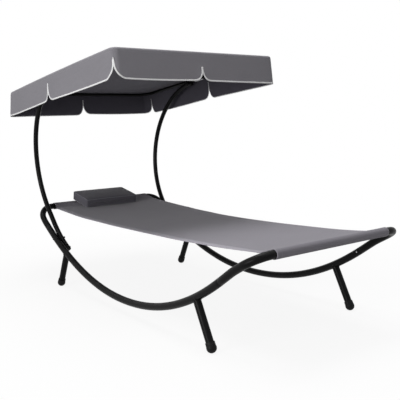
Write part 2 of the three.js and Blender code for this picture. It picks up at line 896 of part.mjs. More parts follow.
// A lobed hand knob with a hub towards the pole and a blind bore for the bolt.
function tiltKnob(side) {
  const grip = new THREE.Mesh(new THREE.ExtrudeGeometry(knobOutline(), {
    depth: knobThickness,
    bevelEnabled: false,
  }));
  grip.geometry.translate(0, 0, knobHubLength);
  const hub = new THREE.Mesh(turned([
    [0, 0],
    [knobHubRadius, 0],
    [knobHubRadius, knobHubLength + cutOverrun],
    [0, knobHubLength + cutOverrun],
  ]));
  const frame = new THREE.Matrix4();
  const joined = solidOf(grip, frame).add(solidOf(hub, frame));
  const knob = piece(sideName('tilt_knob', side), geometryOf(joined), blackPlastic);
  const mouth = new THREE.Vector3(0, 0, -cutOverrun);
  const bottom = new THREE.Vector3(0, 0, knobBoltDepth + seatGap);
  cut(knob, drill(boltRadius + seatGap, mouth, bottom));
  knob.position.y = side * knobFoot;
  aim(knob, new THREE.Vector3(0, -side, 0));
  return knob;
}

// Canopy cloth

const cornerRun = clothCornerRadius * Math.PI / 2;
const sideRun = canopyLength - 2 * clothCornerRadius;
const endRun = canopyWidth - 2 * clothCornerRadius;
const halfRound = sideRun + endRun + 2 * cornerRun;

// Distances of the notches round the roof's edge; the second half of the edge repeats the first.
const halfNotches = [
  0,
  cornerRun / 2 + sideRun / 2 + sideNotchShift,
  cornerRun * 1.5 + sideRun + endRun / 2 - endNotchShift,
];
const notchPlaces = [...halfNotches, ...halfNotches.map((place) => place + halfRound), 2 * halfRound];

// The roof's edge about its middle, clockwise from the foot end's right corner.
function roofOutline() {
  const x = canopyLength / 2 - clothCornerRadius;
  const y = canopyWidth / 2 - clothCornerRadius;
  const quarter = Math.PI / 2;
  const outline = new THREE.Path();
  outline.absarc(x, -y, clothCornerRadius, -quarter / 2, -quarter, true);
  outline.absarc(-x, -y, clothCornerRadius, -quarter, -Math.PI, true);
  outline.absarc(-x, y, clothCornerRadius, Math.PI, quarter, true);
  outline.absarc(x, y, clothCornerRadius, quarter, 0, true);
  outline.absarc(x, -y, clothCornerRadius, 0, -quarter / 2, true);
  return outline;
}

// How far the valance hangs at a distance round the edge: a belly between notches whose sides
// are quarters of rounded squares.
function valanceDepthAt(distance) {
  const next = notchPlaces.findIndex((place) => distance < place);
  const [from, to] = [notchPlaces[next - 1], notchPlaces[next]];
  const near = Math.min(distance - from, to - distance);
  const full = valanceDepth + valanceBelly * Math.sin(Math.PI * (distance - from) / (to - from));
  const share = Math.min(near / notchHalfWidth, 1);
  const fall = (1 - (1 - share) ** notchRoundness) ** (1 / notchRoundness);
  return THREE.MathUtils.lerp(notchTop, full, fall);
}

// Distances round the edge that the cloth's points stand at: close in notches and corners.
function clothStations() {
  const round = 2 * halfRound;
  const corners = [0, cornerRun + sideRun, halfRound, halfRound + cornerRun + sideRun];
  const notches = notchPlaces.slice(0, -1);
  const places = [...notches];
  for (const share of [0.25, 0.5, 0.75, 1]) {
    const offset = notchHalfWidth * (1 - Math.cos(share * Math.PI / 2));
    places.push(...notches.flatMap((place) => [place - offset, place + offset]));
  }
  for (const share of [-0.5, -0.25, 0.25, 0.5]) {
    places.push(...corners.map((place) => place + share * cornerRun));
  }
  const sorted = places.map((place) => (place + round) % round).sort((a, b) => a - b);
  const stations = [];
  let last = -clothStep;
  for (const place of [...sorted, round]) {
    const gaps = stations.length ? Math.ceil((place - last) / clothStep) : 1;
    for (let gap = 1; gap < gaps; gap += 1) {
      stations.push(THREE.MathUtils.lerp(last, place, gap / gaps));
    }
    if (place - last > clothWeldStep && place < round) {
      stations.push(place);
      last = place;
    }
  }
  return stations;
}

// The cloth's section at one station as points (outwards, up) from the roof's edge,
// down the outside of the valance and back up its inside.
function clothSection(depth) {
  return [
    [-clothFold, 0],
    [0, -clothFold],
    [valanceFlare / 2, -depth / 2],
    [valanceFlare, -depth],
    [valanceFlare - clothThickness, -depth],
    [valanceFlare / 2 - clothThickness, -depth / 2],
    [-clothThickness, -clothFold],
    [-clothFold, -clothThickness],
  ];
}

function clothPositions(stations) {
  const outline = roofOutline();
  const positions = [0, 0, 0, 0, 0, -clothThickness];
  for (const distance of stations) {
    const share = distance / (2 * halfRound);
    const edge = outline.getPoint(share);
    const tangent = outline.getTangent(share);
    for (const [outwards, up] of clothSection(valanceDepthAt(distance))) {
      positions.push(edge.x - tangent.y * outwards, edge.y + tangent.x * outwards, up);
    }
  }
  return positions;
}

function clothFaces(columns) {
  const rows = clothSection(valanceDepth).length;
  const at = (column, row) => 2 + (column % columns) * rows + row;
  const faces = [];
  for (let column = 0; column < columns; column += 1) {
    faces.push(0, at(column + 1, 0), at(column, 0));
    for (let row = 0; row < rows - 1; row += 1) {
      faces.push(at(column, row), at(column + 1, row + 1), at(column, row + 1));
      faces.push(at(column, row), at(column + 1, row), at(column + 1, row + 1));
    }
    faces.push(1, at(column, rows - 1), at(column + 1, rows - 1));
  }
  return faces;
}

function canopyCloth() {
  const stations = clothStations();
  const geometry = new THREE.BufferGeometry();
  geometry.setAttribute('position', new THREE.Float32BufferAttribute(clothPositions(stations), 3));
  geometry.setIndex(clothFaces(stations.length));
  geometry.computeVertexNormals();
  const cloth = piece('canopy_cloth', geometry, canopyFabric);
  cloth.position.set(canopyMiddle, 0, roofRise);
  return cloth;
}

// The whole lounger

function seatFrame(rails) {
  const parts = [endTube(headEnd), endTube(footEnd), rails.left, rails.right];
  for (const side of [1, -1]) {
    const rail = side > 0 ? rails.left : rails.right;
    for (const end of [headEnd, footEnd]) {
      const joiner = railJoiner(end, side);
      parts.push(joiner, jointScrew(end, side, rail, joiner), leg(end, side), ballFoot(end, side));
    }
  }
  return parts;
}

function canopy(poles) {
  const group = new THREE.Group();
  group.add(canopyTube(headEnd), canopyTube(footEnd), canopyCloth());
  for (const side of [1, -1]) {
    const pole = side > 0 ? poles.left : poles.right;
    group.add(canopyJoiner(side), pivotPlate(side), tiltBolt(side, pole), tiltKnob(side));
  }
  group.position.set(-pivotReach, 0, pivotHeight);
  group.rotation.y = -canopyTilt;
  return group;
}

function lounger() {
  const group = new THREE.Group();
  const rails = { left: sideRail(1), right: sideRail(-1) };
  const poles = { left: canopyPole(1), right: canopyPole(-1) };
  group.add(...seatFrame(rails), sling(), pillow(), poles.left, poles.right, canopy(poles));
  for (const side of [1, -1]) {
    const pole = side > 0 ? poles.left : poles.right;
    const tubes = {
      rail: side > 0 ? rails.left : rails.right,
      joiner: group.getObjectByName(sideName('rail_joiner_head', side)),
      leg: group.getObjectByName(sideName('leg_head', side)),
    };
    group.add(
      ...poleCaps(side),
      poleFixing('lower', lowerBoltSetback, side, pole, tubes),
      poleFixing('upper', upperBoltSetback, side, pole, tubes),
    );
  }
  return group;
}

// The origin stands on the floor under the middle of the lounger's bounding box.
const assembly = lounger();
const bounds = new THREE.Box3().setFromObject(assembly, true);
const middle = bounds.getCenter(new THREE.Vector3());
assembly.position.set(-middle.x, -middle.y, -bounds.min.z);

export default assembly;
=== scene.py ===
import math

import bmesh
import bpy
import numpy as np
from mathutils import Matrix, Vector, noise
from mathutils.bvhtree import BVHTree


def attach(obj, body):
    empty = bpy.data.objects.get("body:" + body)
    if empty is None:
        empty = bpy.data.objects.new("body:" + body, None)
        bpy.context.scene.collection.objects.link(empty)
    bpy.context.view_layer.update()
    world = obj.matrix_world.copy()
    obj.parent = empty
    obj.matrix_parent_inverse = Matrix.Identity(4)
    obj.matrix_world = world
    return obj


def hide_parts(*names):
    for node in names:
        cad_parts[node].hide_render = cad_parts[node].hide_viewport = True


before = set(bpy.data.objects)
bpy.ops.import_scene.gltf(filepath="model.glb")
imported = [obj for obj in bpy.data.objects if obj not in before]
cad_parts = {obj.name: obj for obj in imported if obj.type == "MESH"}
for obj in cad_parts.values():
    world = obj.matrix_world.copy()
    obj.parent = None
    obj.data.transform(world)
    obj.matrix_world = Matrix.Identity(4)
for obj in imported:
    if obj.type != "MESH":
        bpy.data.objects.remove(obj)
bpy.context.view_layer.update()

# Millimetres, +X towards the foot end, +Y to the left of a person lying on it. The working frame's
# origin is midway between the end tubes; the model's stands a little nearer the head end.
MM = 0.001
MODEL_SHIFT = 84.654420702


def new_object(name, data):
    made = bpy.data.objects.new(name, data)
    bpy.context.scene.collection.objects.link(made)
    return made


# Camera

CAMERA_PLACE = (2.697654, -1.916, 0.9288)
CAMERA_TURN = (142.861, -7.123, -1.469)
CAMERA_LENS = 55.72


def make_camera():
    yaw, pitch, roll = (math.radians(a) for a in CAMERA_TURN)
    forward = Vector((math.cos(yaw) * math.cos(pitch), math.sin(yaw) * math.cos(pitch), math.sin(pitch)))
    right = forward.cross(Vector((0, 0, 1))).normalized()
    up = right.cross(forward)
    right, up = (
        math.cos(roll) * right + math.sin(roll) * up,
        -math.sin(roll) * right + math.cos(roll) * up,
    )
    camera = new_object("camera", bpy.data.cameras.new("camera"))
    camera.data.sensor_width = 36
    camera.data.lens = CAMERA_LENS
    turn = Matrix((right, up, -forward)).transposed().to_4x4()
    camera.matrix_world = Matrix.Translation(CAMERA_PLACE) @ turn
    bpy.context.scene.camera = camera


make_camera()

# Sizes of the seat frame

HALF_LENGTH = 981
RAIL_SIDE = 431.5
END_TUBE_HEIGHT = 437
RAIL_LOW = 70
TUBE_RADIUS = 17.5
END_BEND = 85
GAP = 0.3
HEAD = {
    "name": "head", "way": -1, "joint": 850, "height": 330, "angle": math.radians(31.5),
    "knee": 905, "knee_radius": 150, "foot": 712,
}
FOOT = {
    "name": "foot", "way": 1, "joint": 772, "height": 310, "angle": math.radians(34.6),
    "knee": 850, "knee_radius": 400, "foot": 705,
}
LEG_SLANT = math.radians(26.6)
BALL_RADIUS = 22
BALL_FLAT = 0.5

# Sizes of the sling and the pillow

SLEEVE_RADIUS = 20.149
SLING_REACH = HALF_LENGTH - SLEEVE_RADIUS * math.cos(math.asin(1 / SLEEVE_RADIUS))
SLING_SAG = 35
SLING_PLY = 1.3
SLING_WIDTHS = (
    (-1.05, 670), (-0.978, 670), (-0.925, 696), (-0.7, 696), (0.02, 642),
    (0.4, 650), (0.85, 650), (0.978, 670), (1.05, 670),
)
SLEEVE_SLIP = 9
PILLOW = (196, 357, 50)
PILLOW_TOP_CROWN = 12
PILLOW_BOTTOM_CROWN = 7
PILLOW_REACH = 815
PILLOW_SHIFT = 16

# Sizes of the poles and the canopy

POLE_RADIUS = 14
POLE_END = 670
POLE_RISE = -11
POLE_INSET = 36.918
ARC_RADIUS = 473
ARC_CENTRE = (-508, 711)
ARC_START = math.radians(218.7)
PIVOT_REACH = 597
PIVOT_HEIGHT = ARC_CENTRE[1] + math.sqrt(ARC_RADIUS ** 2 - (PIVOT_REACH + ARC_CENTRE[0]) ** 2)
CANOPY_LENGTH = 1283
CANOPY_WIDTH = 992
CANOPY_MIDDLE = 67
CANOPY_TILT = math.radians(6.13)
CANOPY_TUBE_RADIUS = 9.5
ROOF_RISE = 27
TUBE_INSET = 2 + GAP + CANOPY_TUBE_RADIUS
CANOPY_TUBE_SIDE = CANOPY_WIDTH / 2 - TUBE_INSET
PLATE_FACE = CANOPY_TUBE_SIDE - CANOPY_TUBE_RADIUS - GAP
PLATE_THICKNESS = 2.5
POLE_TOP_SIDE = PLATE_FACE - PLATE_THICKNESS - GAP - POLE_RADIUS
CLOTH_CORNER = 30
CLOTH_EASE = (11, 6)
CLOTH_PLY = 1.3
ROOF_STAND = 1
ROOF_CROWN = 4.5
VALANCE_DEPTH = 140
SCALLOP_DEPTHS = (142, 142, 135, 144, 146, 144)
VALANCE_BELLY = 4
NOTCH_TOPS = (54, 53, 46, 46, 46, 78)
NOTCH_HALF = 58
NOTCH_ROUNDNESS = 2.7
SIDE_NOTCH_SLIP = 65
END_NOTCH_SLIP = -3
HEAD_FAR_SLIP = 40
SIDES = (("left", 1), ("right", -1))
FRAME_CORNERS = [(f"{end['name']}_{word}", end, side) for end in (HEAD, FOOT) for word, side in SIDES]


# Small tools


def vec(*values):
    return np.array(values, float)


def unit(v):
    return v / np.linalg.norm(v)


def smoothstep(x, low, high):
    t = np.clip((x - low) / (high - low), 0, 1)
    return t * t * (3 - 2 * t)


def wander(x, y=0.0, z=0.0):
    """Smooth noise from -1 to 1, the same on every run."""
    return noise.noise(Vector((x, y, z)))


def to_model(points):
    """Working millimetres to the model's metres."""
    return (np.asarray(points, float) + vec(MODEL_SHIFT, 0, 0)) * MM


def from_model(point):
    """The model's metres to working millimetres."""
    return np.asarray(point, float) / MM - vec(MODEL_SHIFT, 0, 0)


def from_canopy(points):
    """Millimetres about the canopy's pivot axis, roof level, to working millimetres."""
    p = np.asarray(points, float)
    c, s = math.cos(CANOPY_TILT), math.sin(CANOPY_TILT)
    x, z = p[..., 0] * c - p[..., 2] * s, p[..., 0] * s + p[..., 2] * c
    return np.stack([x - PIVOT_REACH, p[..., 1], z + PIVOT_HEIGHT], axis=-1)


def along_axis(origin, axis, up=(0, 0, 1)):
    """A function that takes points of a frame whose Z is the axis to working millimetres."""
    z = unit(np.asarray(axis, float))
    side = np.cross(np.asarray(up, float), z)
    x = unit(side) if np.linalg.norm(side) > 1e-6 else vec(1, 0, 0)
    basis = np.array([x, np.cross(z, x), z])
    return lambda points: np.asarray(points, float) @ basis + np.asarray(origin, float)


def placed(shape, place):
    points, faces = shape
    return place(points), faces


def make_piece(name, shape, finish, stands_for="", body="frame", sharp=35, border=None, indices=None):
    """A mesh piece from working millimetres; it rides on its body and stands for its solid.
    A finish is one or more materials and the name of their slot."""
    points, faces = shape
    *materials, slot = finish
    mesh = bpy.data.meshes.new(name)
    mesh.from_pydata(to_model(points).tolist(), [], faces)
    for material in materials:
        mesh.materials.append(material)
    mesh.polygons.foreach_set("use_smooth", [True] * len(mesh.polygons))
    if indices is not None:
        mesh.polygons.foreach_set("material_index", indices)
    if sharp:
        mesh.set_sharp_from_angle(angle=math.radians(sharp))
    if border is not None:
        corners = np.zeros(len(mesh.loops), np.int32)
        mesh.loops.foreach_get("vertex_index", corners)
        layer = mesh.uv_layers.new(name="border")
        layer.data.foreach_set("uv", np.asarray(border, float)[corners].ravel())
    mesh.validate()
    mesh.update()
    piece = new_object(name, mesh)
    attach(piece, body)
    if stands_for:
        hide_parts(stands_for)
    return piece


def joined(*shapes):
    """Several (points, faces) as one."""
    points, faces = [], []
    for more, polygons in shapes:
        start = sum(len(p) for p in points)
        points.append(np.asarray(more, float))
        faces += [tuple(start + i for i in face) for face in polygons]
    return np.concatenate(points), faces


def grid_faces(rows, columns, loop_columns=True, loop_rows=False, start=0):
    faces = []
    for r in range(rows if loop_rows else rows - 1):
        for c in range(columns if loop_columns else columns - 1):
            a, b = r * columns, (r + 1) % rows * columns
            d = (c + 1) % columns
            faces.append((start + a + c, start + a + d, start + b + d, start + b + c))
    return faces


def end_faces(rows, count):
    """The first and the last ring of a grid, as faces."""
    return [tuple(reversed(range(count))), tuple(range((rows - 1) * count, rows * count))]


def flipped(faces):
    return [tuple(reversed(face)) for face in faces]


def frames_along(path, closed=False):
    """Tangents and side directions, carried along the path without twist."""
    path = np.asarray(path, float)
    if closed:
        tangents = np.roll(path, -1, 0) - np.roll(path, 1, 0)
    else:
        tangents = np.gradient(path, axis=0)
    tangents /= np.linalg.norm(tangents, axis=1)[:, None]
    first = np.cross(tangents[0], vec(0, 0, 1) if abs(tangents[0][2]) < 0.9 else vec(0, 1, 0))
    sides = [unit(first)]
    for t in tangents[1:]:
        side = sides[-1] - t * np.dot(sides[-1], t)
        sides.append(unit(side))
    return tangents, np.array(sides)


def lengths_along(path):
    """The distance from a path's start to each of its points."""
    return np.concatenate([[0], np.cumsum(np.linalg.norm(np.diff(path, axis=0), axis=1))])


def sweep(path, radius, sides=28, bevel=0.8, closed=False):
    """A closed solid swept along a path, its open ends capped and their edges rounded."""
    path = np.asarray(path, float)
    tangents, across = frames_along(path, closed)
    scale = np.ones(len(path)) * radius
    if not closed:
        turns = (0, 0.5, 1, math.pi / 2)

        def inset(at, way):
            return [path[at] + way * tangents[at] * bevel * (1 - math.cos(a)) for a in turns]

        shrink = [bevel * (1 - math.sin(a)) for a in turns]
        path = np.concatenate([inset(0, 1), path[1:-1], inset(-1, -1)[::-1]])
        scale = np.concatenate([
            [scale[0] - s for s in shrink], scale[1:-1], [scale[-1] - s for s in shrink[::-1]]])
        tangents, across = (
            np.concatenate([[v[0]] * 4, v[1:-1], [v[-1]] * 4]) for v in (tangents, across))
    other = np.cross(tangents, across)
    angles = 2 * np.pi * np.arange(sides) / sides
    circle = across[:, None] * np.cos(angles)[:, None] + other[:, None] * np.sin(angles)[:, None]
    points = (path[:, None] + scale[:, None, None] * circle).reshape(-1, 3)
    faces = grid_faces(len(path), sides, loop_rows=closed)
    return points, faces if closed else faces + end_faces(len(path), sides)


def ring(radius, z, sides):
    """Points round the Z axis; the radius may depend on the angle."""
    made = []
    for i in range(sides):
        a = 2 * math.pi * i / sides
        r = radius(a) if callable(radius) else radius
        made.append((r * math.cos(a), r * math.sin(a), z))
    return made


def fanned(rings, apex, base):
    """A solid of stacked rings, closed by fans to two points of the axis."""
    sides = len(rings[0])
    points = [p for row in rings for p in row] + [(0, 0, apex), (0, 0, base)]
    faces = grid_faces(len(rings), sides)
    last, top = (len(rings) - 1) * sides, len(rings) * sides
    for i in range(sides):
        j = (i + 1) % sides
        faces.append((last + i, last + j, top))
        faces.append((j, i, top + 1))
    return np.array(points), faces


def turned(profile, sides=32):
    """A solid of revolution about Z from (radius, height) points, upwards round the outside."""
    points, faces, starts = [], [], []
    for r, z in profile:
        starts.append(len(points))
        points += [(0, 0, z)] if r < 1e-6 else ring(r, z, sides)
    for (r0, _), (r1, _), a, b in zip(profile, profile[1:], starts, starts[1:]):
        for i in range(sides):
            j = (i + 1) % sides
            if r0 < 1e-6 and r1 < 1e-6:
                continue
            if r0 < 1e-6:
                faces.append((a, b + j, b + i))
            elif r1 < 1e-6:
                faces.append((a + i, a + j, b))
            else:
                faces.append((a + i, a + j, b + j, b + i))
    return np.array(points, float), faces


def rounded(profile, radius=0.6, steps=3):
    """The profile with its outer corners rounded; points on the axis stay."""
    made = []
    for i, point in enumerate(profile):
        p = vec(*point)
        if i in (0, len(profile) - 1) or point[0] < 1e-6:
            made.append(tuple(p))
            continue
        before, after = vec(*profile[i - 1]) - p, vec(*profile[i + 1]) - p
        cut = min(radius, 0.45 * np.linalg.norm(before), 0.45 * np.linalg.norm(after))
        start, end = p + unit(before) * cut, p + unit(after) * cut
        for k in range(steps + 1):
            t = k / steps
            made.append(tuple((1 - t) ** 2 * start + 2 * t * (1 - t) * p + t * t * end))
    return made


def arc_points(centre, radius, start, end, steps):
    angles = np.linspace(start, end, steps + 1)
    return [vec(centre[0] + radius * math.cos(a), centre[1] + radius * math.sin(a)) for a in angles]


def bent_path(corners, radii, step=math.radians(4)):
    """Straight runs between corners with a round bend at each inner corner."""
    path = [corners[0]]
    for corner, before, after, radius in zip(corners[1:-1], corners, corners[2:], radii):
        into, out = unit(corner - before), unit(after - corner)
        turn = math.acos(float(np.clip(np.dot(into, out), -1, 1)))
        trim = radius * math.tan(turn / 2)
        inward = unit(out - into * math.cos(turn))
        start = corner - into * trim
        for a in np.linspace(0, turn, max(2, round(turn / step)) + 1):
            path.append(start + into * radius * math.sin(a) + inward * radius * (1 - math.cos(a)))
    path.append(corners[-1])
    return np.array(path)


def split_long(path, longest):
    """The path with its long runs divided evenly."""
    made = [path[0]]
    for a, b in zip(path, path[1:]):
        pieces = max(1, math.ceil(np.linalg.norm(b - a) / longest))
        made += [a + (b - a) * k / pieces for k in range(1, pieces + 1)]
    return np.array(made)


# Materials


class Nodes:
    """The nodes of a material or of the world, wired by short calls."""

    def __init__(self, owner):
        owner.use_nodes = True
        self.owner, self.tree = owner, owner.node_tree

    def put(self, socket, value):
        if isinstance(value, bpy.types.NodeSocket):
            self.tree.links.new(value, socket)
        else:
            socket.default_value = value

    def add(self, kind, *values, **named):
        """A node whose first inputs, and others by name, are linked or set."""
        node = self.tree.nodes.new("ShaderNode" + kind)
        for socket, value in zip(node.inputs, values):
            self.put(socket, value)
        for name, value in named.items():
            self.put(node.inputs[name], value)
        return node

    def finish(self, **values):
        """Sets the shader's sockets, named with underscores for spaces."""
        shader = self.tree.nodes["Principled BSDF"]
        for name, value in values.items():
            self.put(shader.inputs[name.replace("_", " ")], value)
        return self.owner

    def math(self, operation, a, b=0.0, c=0.0):
        node = self.add("Math", a, b, c)
        node.operation = operation
        return node.outputs[0]

    def times(self, a, b):
        return self.math("MULTIPLY", a, b)

    def plus(self, a, b):
        return self.math("ADD", a, b)

    def mix(self, share, a, b):
        node = self.add("Mix")
        node.data_type = "RGBA"
        for index, value in ((0, share), (6, a), (7, b)):
            self.put(node.inputs[index], value)
        return node.outputs[2]

    def mapped(self, **values):
        """The object's own coordinates, turned and scaled."""
        place = self.add("TexCoord").outputs["Object"]
        return self.add("Mapping", Vector=place, **values).outputs[0]

    def noise(self, scale, detail, stretch=(1, 1, 1)):
        place = self.mapped(Scale=stretch)
        return self.add("TexNoise", Vector=place, Scale=scale, Detail=detail).outputs["Fac"]

    def span(self, value, low, high, to_low=0.0, to_high=1.0):
        return self.add("MapRange", value, low, high, to_low, to_high).outputs[0]

    def bump(self, height, strength, distance, **base):
        return self.add("Bump", Height=height, Strength=strength, Distance=distance, **base).outputs[0]

    def parts(self, vector):
        return self.add("SeparateXYZ", vector).outputs

    def border(self):
        """The distance across from a cloth's border and the one along it."""
        node = self.add("UVMap")
        node.uv_map = "border"
        return self.parts(node.outputs[0])[:2]

    def weave(self, pitch, turn):
        """Threads over and under each other, whatever way the surface faces."""
        place = self.mapped(Rotation=turn, Scale=[2 * math.pi / pitch] * 3)
        x, y, z = (self.math("SINE", part) for part in self.parts(place))
        total = self.plus(self.times(x, y), self.times(y, z))
        return self.span(self.plus(total, self.times(z, x)), -1.3, 1.3)

    def seen(self):
        """1 for what the camera sees straight, in a gloss or through glass, else 0."""
        path = self.add("LightPath").outputs
        beyond = self.math("MAXIMUM", path["Is Glossy Ray"], path["Is Transmission Ray"])
        return self.math("MAXIMUM", path["Is Camera Ray"], beyond)


def tone(color, factor):
    return (*(min(1.0, c * factor) for c in color[:3]), 1.0)


def grey(value, warm=0.0, cool=0.0):
    return (value * (1 + warm), value, value * (1 + cool), 1.0)


def powder_coat(name, base, roughness):
    """Satin powder-coated steel: fine orange peel, cloudy gloss, and lighter where it faces up, partly light
    dust and partly painted light.
    """
    n = Nodes(bpy.data.materials.new(name))
    cloud = n.noise(9, 3)
    color = n.mix(n.span(cloud, 0.3, 0.7), tone(base, 0.82), tone(base, 1.2))
    color = n.mix(n.times(n.span(n.noise(620, 2), 0.62, 0.8), 0.35), color, tone(base, 2.2))
    # Lighter where the surface faces up: partly dust, partly painted light on the lit tops.
    upward = n.span(n.parts(n.add("NewGeometry").outputs["Normal"])[2], 0.35, 1.0)
    dust_and_painted_light = n.times(upward, n.span(n.noise(26, 4), 0.42, 0.75, 0.01, 0.1))
    color = n.mix(dust_and_painted_light, color, grey(0.19))
    scuffs = n.times(n.span(n.noise(70, 3, (1, 1, 6)), 0.66, 0.74), 0.14)
    rough = n.plus(n.span(cloud, 0.3, 0.7, roughness - 0.05, roughness + 0.06), scuffs)
    peel = n.bump(n.noise(420, 2), 0.12, 0.0003)
    return n.finish(Base_Color=color, Roughness=rough, Specular_IOR_Level=0.075,
                    Normal=n.bump(n.noise(1500, 1), 0.06, 0.0001, Normal=peel))


def moulded(name, base):
    """Moulded plastic with a fine spark-eroded grain and a few scuffs."""
    n = Nodes(bpy.data.materials.new(name))
    cloud = n.noise(30, 3)
    color = n.mix(n.span(cloud, 0.35, 0.7), tone(base, 0.85), tone(base, 1.3))
    scuff = n.span(n.noise(180, 4, (1, 1, 0.3)), 0.6, 0.75)
    color = n.mix(n.times(scuff, 0.25), color, grey(0.10))
    return n.finish(Base_Color=color, Roughness=n.span(cloud, 0.3, 0.7, 0.48, 0.62),
                    Specular_IOR_Level=0.12, Normal=n.bump(n.noise(2600, 2), 0.22, 0.0001))


def plated(name, base, roughness):
    """Plated or blackened steel with brushed streaks and dull patches."""
    n = Nodes(bpy.data.materials.new(name))
    streak = n.noise(260, 3, (1, 1, 9))
    color = n.mix(n.span(streak, 0.3, 0.7), tone(base, 0.8), tone(base, 1.15))
    color = n.mix(n.times(n.span(n.noise(60, 3), 0.55, 0.75), 0.3), color, tone(base, 0.5))
    rough = n.span(streak, 0.3, 0.7, roughness - 0.07, roughness + 0.1)
    return n.finish(Base_Color=color, Metallic=0.9, Roughness=rough, Normal=n.bump(streak, 0.08, 0.0002))


def woven(name, base, pitch, turn=(0, 0, 0), rows=(), edge=None, hem=None, contrast=0.055):
    """Plain-woven cloth: threads, slubs along both directions, cloudy tone, rows of stitching at distances
    from the border in grooves darkened by painted shade, a doubled hem painted paler as painted light and a
    pale edge."""
    n = Nodes(bpy.data.materials.new(name))
    threads = n.weave(pitch, turn)
    slub = n.plus(n.times(n.noise(90, 2, (0.7, 10, 10)), 0.5), n.times(n.noise(90, 2, (10, 0.7, 10)), 0.5))
    color = n.mix(n.span(slub, 0.36, 0.64), tone(base, 1 - contrast), tone(base, 1 + contrast))
    color = n.mix(n.times(n.span(threads, 0.0, 0.5, 1, 0), 0.3), color, tone(base, 0.62))
    color = n.mix(n.span(n.noise(2.2, 4), 0.36, 0.66, 0.0, 0.22), color, tone(base, 1.22))
    color = n.mix(n.times(n.span(n.noise(140, 5), 0.6, 0.8), 0.3), color, tone(base, 1.3))
    height = n.plus(n.times(threads, 0.7), n.times(slub, 0.5))
    if rows:
        across, run = n.border()
        dash = n.math("LESS_THAN", n.math("FRACT", n.math("DIVIDE", run, 0.0042)), 0.68)
    if hem:
        width, first, last = hem
        flat = n.times(n.span(run, first, first + 0.03), n.span(run, last - 0.03, last, 1, 0))
        # The doubled hem is painted paler: painted light along the sheet's edges.
        hem_painted_light = n.times(flat, n.span(across, width - 0.003, width + 0.003, 0.6, 0.0))
        color = n.mix(hem_painted_light, color, tone(base, 1.8))
    for place in rows:
        groove_with_painted_shade = n.math("COMPARE", across, place, 0.0016)
        stitch = n.times(n.math("COMPARE", across, place, 0.0007), dash)
        # Darker along each stitch groove: painted shade.
        color = n.mix(n.times(groove_with_painted_shade, 0.35), color, tone(base, 0.55))
        color = n.mix(stitch, color, tone(base, 1.5))
        height = n.plus(n.math("SUBTRACT", height, n.times(groove_with_painted_shade, 1.6)), n.times(stitch, 2.0))
    if edge:
        color = n.mix(n.times(n.math("LESS_THAN", across, edge), 0.6), color, tone(base, 1.55))
    return n.finish(Base_Color=color, Roughness=n.span(threads, 0, 1, 0.92, 0.8), Specular_IOR_Level=0.2,
                    Sheen_Weight=0.12, Sheen_Roughness=0.45, Normal=n.bump(height, 0.35, 0.00035))


def canopy_woven(name, base):
    return woven(name, base, 0.0016, ROOF_TURN, rows=(0.0085,))


ROOF_TURN = (0, -CANOPY_TILT, 0)
black_paint = powder_coat("black_paint", grey(0.0042, 0.01, 0.05), 0.34), "frame_paint"
black_plastic = moulded("black_plastic", grey(0.006, 0, 0.03)), "black_plastic"
zinc = plated("zinc_plate", grey(0.4, 0, 0.04), 0.36), "zinc_steel"
dark_steel = plated("dark_steel", grey(0.035, 0, 0.02), 0.4), "dark_steel"
pillow_cloth = woven("pillow_cloth", grey(0.1, 0.04, 0.17), 0.0015, contrast=0.08)
# The welts are paler than the pillow: a painted highlight along its seams.
welt_painted_highlight = woven("welt_painted_highlight", grey(0.19, 0.03, 0.13), 0.0012), "pillow_fabric"
# The inside is a darker, more purple copy of the outside cloth: painted shade under the roof.
canopy_cloth = (canopy_woven("canopy_outside", grey(0.234, 0.035, 0.095)),
                canopy_woven("canopy_inside_painted_shade", grey(0.088, 0.06, 0.24)), "canopy_fabric")
white_binding = woven("white_binding", grey(0.88), 0.0011, ROOF_TURN, contrast=0.03), "canopy_fabric"


# Side rails and end tubes

TUBE_SIDES = 30
SCREW_SETBACK = 18


def rail_xz(end, reach):
    t, third = reach / end["joint"], end["joint"] / 3
    heights = (RAIL_LOW, RAIL_LOW, end["height"] - third * math.tan(end["angle"]), end["height"])
    weights = ((1 - t) ** 3, 3 * t * (1 - t) ** 2, 3 * t * t * (1 - t), t ** 3)
    return vec(end["way"] * reach, sum(w * h for w, h in zip(weights, heights)))


def rail_point(end, side, reach):
    x, z = rail_xz(end, reach)
    return vec(x, side * RAIL_SIDE, z)


def rail_tangent(end, side, reach):
    return unit(rail_point(end, side, reach + 0.5) - rail_point(end, side, reach - 0.5))


def joint_direction(end):
    return vec(end["way"] * math.cos(end["angle"]), 0, math.sin(end["angle"]))


def rail_path(side):
    head = [rail_point(HEAD, side, r) for r in np.linspace(HEAD["joint"], 0, 56)]
    foot = [rail_point(FOOT, side, r) for r in np.linspace(0, FOOT["joint"], 52)]
    return np.array(head + foot[1:])


def end_path(end):
    def start(side):
        return rail_point(end, side, end["joint"]) + joint_direction(end) * GAP

    def knee(side):
        rise = (end["knee"] - end["joint"]) * math.tan(end["angle"])
        return vec(end["way"] * end["knee"], side * RAIL_SIDE, end["height"] + rise)

    def corner(side):
        return vec(end["way"] * HALF_LENGTH, side * RAIL_SIDE, END_TUBE_HEIGHT)

    corners = [start(1), knee(1), corner(1), corner(-1), knee(-1), start(-1)]
    return split_long(bent_path(corners, [end["knee_radius"], END_BEND, END_BEND, end["knee_radius"]]), 60)


def make_rails():
    for word, side in SIDES:
        make_piece(f"rail_tube_{word}", sweep(rail_path(side), TUBE_RADIUS, TUBE_SIDES), black_paint,
                   f"side_rail_{word}")
    for end in (HEAD, FOOT):
        make_piece(f"end_tube_{end['name']}", sweep(end_path(end), TUBE_RADIUS, TUBE_SIDES), black_paint,
                   f"{end['name']}_end_tube")


